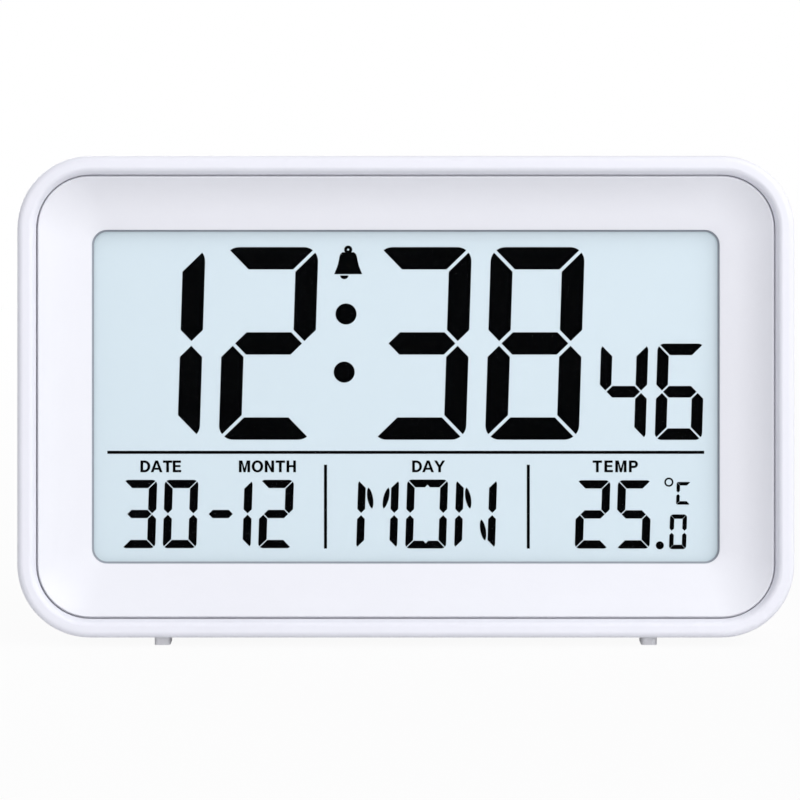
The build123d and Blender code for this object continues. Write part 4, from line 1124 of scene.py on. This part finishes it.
    def day(self, art: Art) -> None:
        """Day in letters, with the short blades of M and N and the notched bars of O.

        Args:
            art: Where the marks go.
        """
        font = self.day_font
        centre = np.array([self.day_middle, self.row_height])
        pitch = np.array([self.day_pitch, 0.0])
        self.write(art, font, "MN", tuple(centre), 2 * self.day_pitch)
        blade = leaf(self.blade_ends, self.blade_bulge)
        opposite = (blade * [-1, 1])[::-1]
        for outline, place in ((blade, -pitch), (opposite, -pitch), (blade, pitch), (-blade, pitch)):
            art.prism(font.slanted(outline) + centre + place)
        outlines = font.outlines()
        half, edge = self.notch_width / 2, font.bar_edge
        notch = [[-half, edge], [0.0, edge + self.notch_depth], [half, edge]]
        bar = np.concatenate([outlines["a"], notch])
        sides = [outlines[segment] for segment in "bcef"]
        for outline in sides + [bar, (bar * [1, -1])[::-1]]:
            art.prism(font.slanted(outline) + centre)

    def temperature(self, art: Art) -> None:
        """Degrees with their point, tenths, ring and letter.

        Args:
            art: Where the marks go.
        """
        self.write(art, self.date_font, "25", self.degrees_place, self.row_pitch)
        self.write(art, self.tenths_font, "0", self.tenths_place, self.row_pitch)
        self.write(art, self.unit_font, "C", self.unit_place, self.row_pitch)
        art.dot(self.point_place, self.point_radius)
        art.ring(self.ring_place, self.ring_radii)

    def lines(self, art: Art) -> None:
        """Line under the time and the two dividers below it.

        Args:
            art: Where the marks go.
        """
        half = self.line_thickness / 2
        art.bar((-self.line_reach, self.line_reach), (self.line_height - half, self.line_height + half))
        for place in self.divider_places:
            art.bar((place - half, place + half), self.divider_ends)

    def labels(self, art: Art) -> None:
        """Words over the row, each spread to its width.

        Args:
            art: Where the marks go.
        """
        capitals = Capitals().letters()
        for word in self.words:
            row = [capitals[character] for character in word.text]
            taken = sum(letter.width for letter in row) * self.label_height
            gap = (word.width - taken) / (len(row) - 1)
            across = word.middle - word.width / 2
            for letter in row:
                letter.stamp(art, self.label_height, (across, self.label_base))
                across += letter.width * self.label_height + gap


@dataclass(frozen=True)
class Case:
    """The moulded clock itself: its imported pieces, each with the finish of its slot."""

    finishes: dict[str, Finish]

    def dress(self) -> None:
        """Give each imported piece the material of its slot."""
        materials = {slot: finish.material(slot) for slot, finish in self.finishes.items()}
        for name, piece in frame["nodes"].items():
            for holder in piece.material_slots:
                slot = holder.material.name.split(".")[0]
                holder.material = materials[slot]
                LOG.info("%s has finish %s", name, slot)


@dataclass(frozen=True)
class Lamp:
    """Square lamp, in metres and watts."""

    name: str
    place: Place
    watts: float
    size: float
    colour: Colour

    def hang(self, target: np.ndarray) -> None:
        """Put the lamp into the scene, so that it looks at a target.

        Args:
            target: The point that it looks at.
        """
        data = bpy.data.lights.new(self.name, "AREA")
        data.color = self.colour
        data.energy = self.watts
        data.size = self.size
        lamp = bpy.data.objects.new(self.name, data)
        show(lamp)
        aim(lamp, np.array(self.place), target - self.place)


@dataclass(frozen=True)
class Studio:
    """Pale floor, soft light and the camera, in metres, with the sensor in millimetres."""

    distance: float = 0.8
    sensor: float = 36.0
    outline_width: float = 0.13784
    outline_depth: float = 0.0011
    outline_pixels: float = 777.0
    shift_pixels: Point = (5.8, 3.3)
    floor_reach: float = 30.0
    floor_colour: Colour = (0.72, 0.72, 0.72)
    floor_roughness: float = 0.9
    floor_white: float = 0.94
    floor_fade: Span = (0.25, 1.2)
    sky_colour: Colour = (0.935, 0.94, 1.0)
    sky_strength: float = 0.37
    lamps: tuple[Lamp, ...] = (
        Lamp("key_lamp", (0.84, -0.76, 1.0), watts=13.3, size=1.2, colour=(1.0, 1.0, 0.985)),
        Lamp("fill_lamp", (0.15, -1.6, 0.2), watts=9.0, size=0.9, colour=(0.945, 0.945, 1.0)),
        Lamp("back_lamp", (-0.45, 1.15, 0.4), watts=6.0, size=0.8, colour=(1.0, 1.0, 1.0)),
    )

    def build(self, face: Face) -> None:
        """Make the floor, the sky, the lamps and the camera.

        Args:
            face: Axes of the clock.
        """
        self.floor()
        self.sky()
        for lamp in self.lamps:
            lamp.hang(np.mean(CAD_BOX, axis=0))
        self.camera(face)

    def floor(self) -> None:
        """Pale floor: a square of four corners, white far off, that keeps the shadow near the clock."""
        corners = np.array([[-1, -1, 0], [1, -1, 0], [1, 1, 0], [-1, 1, 0]]) * self.floor_reach
        mesh = bpy.data.meshes.new("floor")
        mesh.from_pydata(corners.tolist(), [], [[0, 1, 2, 3]])
        mesh.materials.append(self.floor_paper())
        floor = bpy.data.objects.new("floor", mesh)
        show(floor)

    def floor_paper(self) -> bpy.types.Material:
        """Paper that is mostly white where it is seen, and wholly so past the end of its fade.

        Returns:
            The material.
        """
        recipe = Recipe("floor_paper")
        recipe.shader.inputs["Base Color"].default_value = (*self.floor_colour, 1.0)
        recipe.shader.inputs["Roughness"].default_value = self.floor_roughness
        away = recipe.node("ShaderNodeVectorMath")
        away.operation = "LENGTH"
        recipe.link(recipe.place(), away.inputs[0])
        fade = recipe.node("ShaderNodeMapRange")
        fade.inputs["From Min"].default_value, fade.inputs["From Max"].default_value = self.floor_fade
        fade.inputs["To Min"].default_value = self.floor_white
        recipe.link(away.outputs["Value"], fade.inputs["Value"])
        share = recipe.maths("MULTIPLY", recipe.seen_rays(), fade.outputs["Result"])
        white = recipe.node("ShaderNodeEmission")
        mixed = recipe.mix(share.outputs[0], recipe.shader.outputs["BSDF"], white.outputs["Emission"])
        recipe.link(mixed, recipe.output.inputs["Surface"])
        return recipe.material

    def sky(self) -> None:
        """Soft light from all round, white where it is seen."""
        world = bpy.data.worlds.new("sky")
        bpy.context.scene.world = world
        world.use_nodes = True
        nodes = Nodes(world.node_tree)
        light = nodes.node("ShaderNodeBackground")
        light.inputs["Color"].default_value = (*self.sky_colour, 1.0)
        light.inputs["Strength"].default_value = self.sky_strength
        white = nodes.node("ShaderNodeBackground")
        white.inputs["Color"].default_value = WHITE
        output = nodes.node("ShaderNodeOutputWorld")
        mixed = nodes.mix(nodes.seen_rays(), light.outputs[0], white.outputs[0])
        nodes.link(mixed, output.inputs["Surface"])

    def camera(self, face: Face) -> None:
        """Camera square to the face, with a lens that gives the clock's outline the photo's width.

        Args:
            face: Axes of the clock.
        """
        scale = self.outline_width / self.outline_pixels
        data = bpy.data.cameras.new("camera")
        data.sensor_width = self.sensor
        data.lens = self.sensor * (self.distance + self.outline_depth) / (PHOTO_SIDE * scale)
        camera = bpy.data.objects.new("camera", data)
        show(camera)
        middle = face.plate_front("polariser_film")
        crown = middle + face.back * (face.crown_depth("front_case") - middle @ face.back)
        across, rise = (pixels * scale for pixels in self.shift_pixels)
        place = crown - face.right * across - face.up * rise - face.back * self.distance
        aim(camera, place, face.back)
        bpy.context.scene.camera = camera


def main() -> None:
    """Dress the clock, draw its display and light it."""
    logging.basicConfig(level=logging.INFO, format="%(name)s: %(message)s")
    bpy.context.scene.view_settings.view_transform = "Standard"
    face = Face.of_joint("mode_press")
    Case(FINISHES).dress()
    for piece in DisplayArt().build(face):
        LOG.info("%s has %d faces", piece.name, len(piece.data.polygons))
    Studio().build(face)


if __name__ == "__main__":
    main()
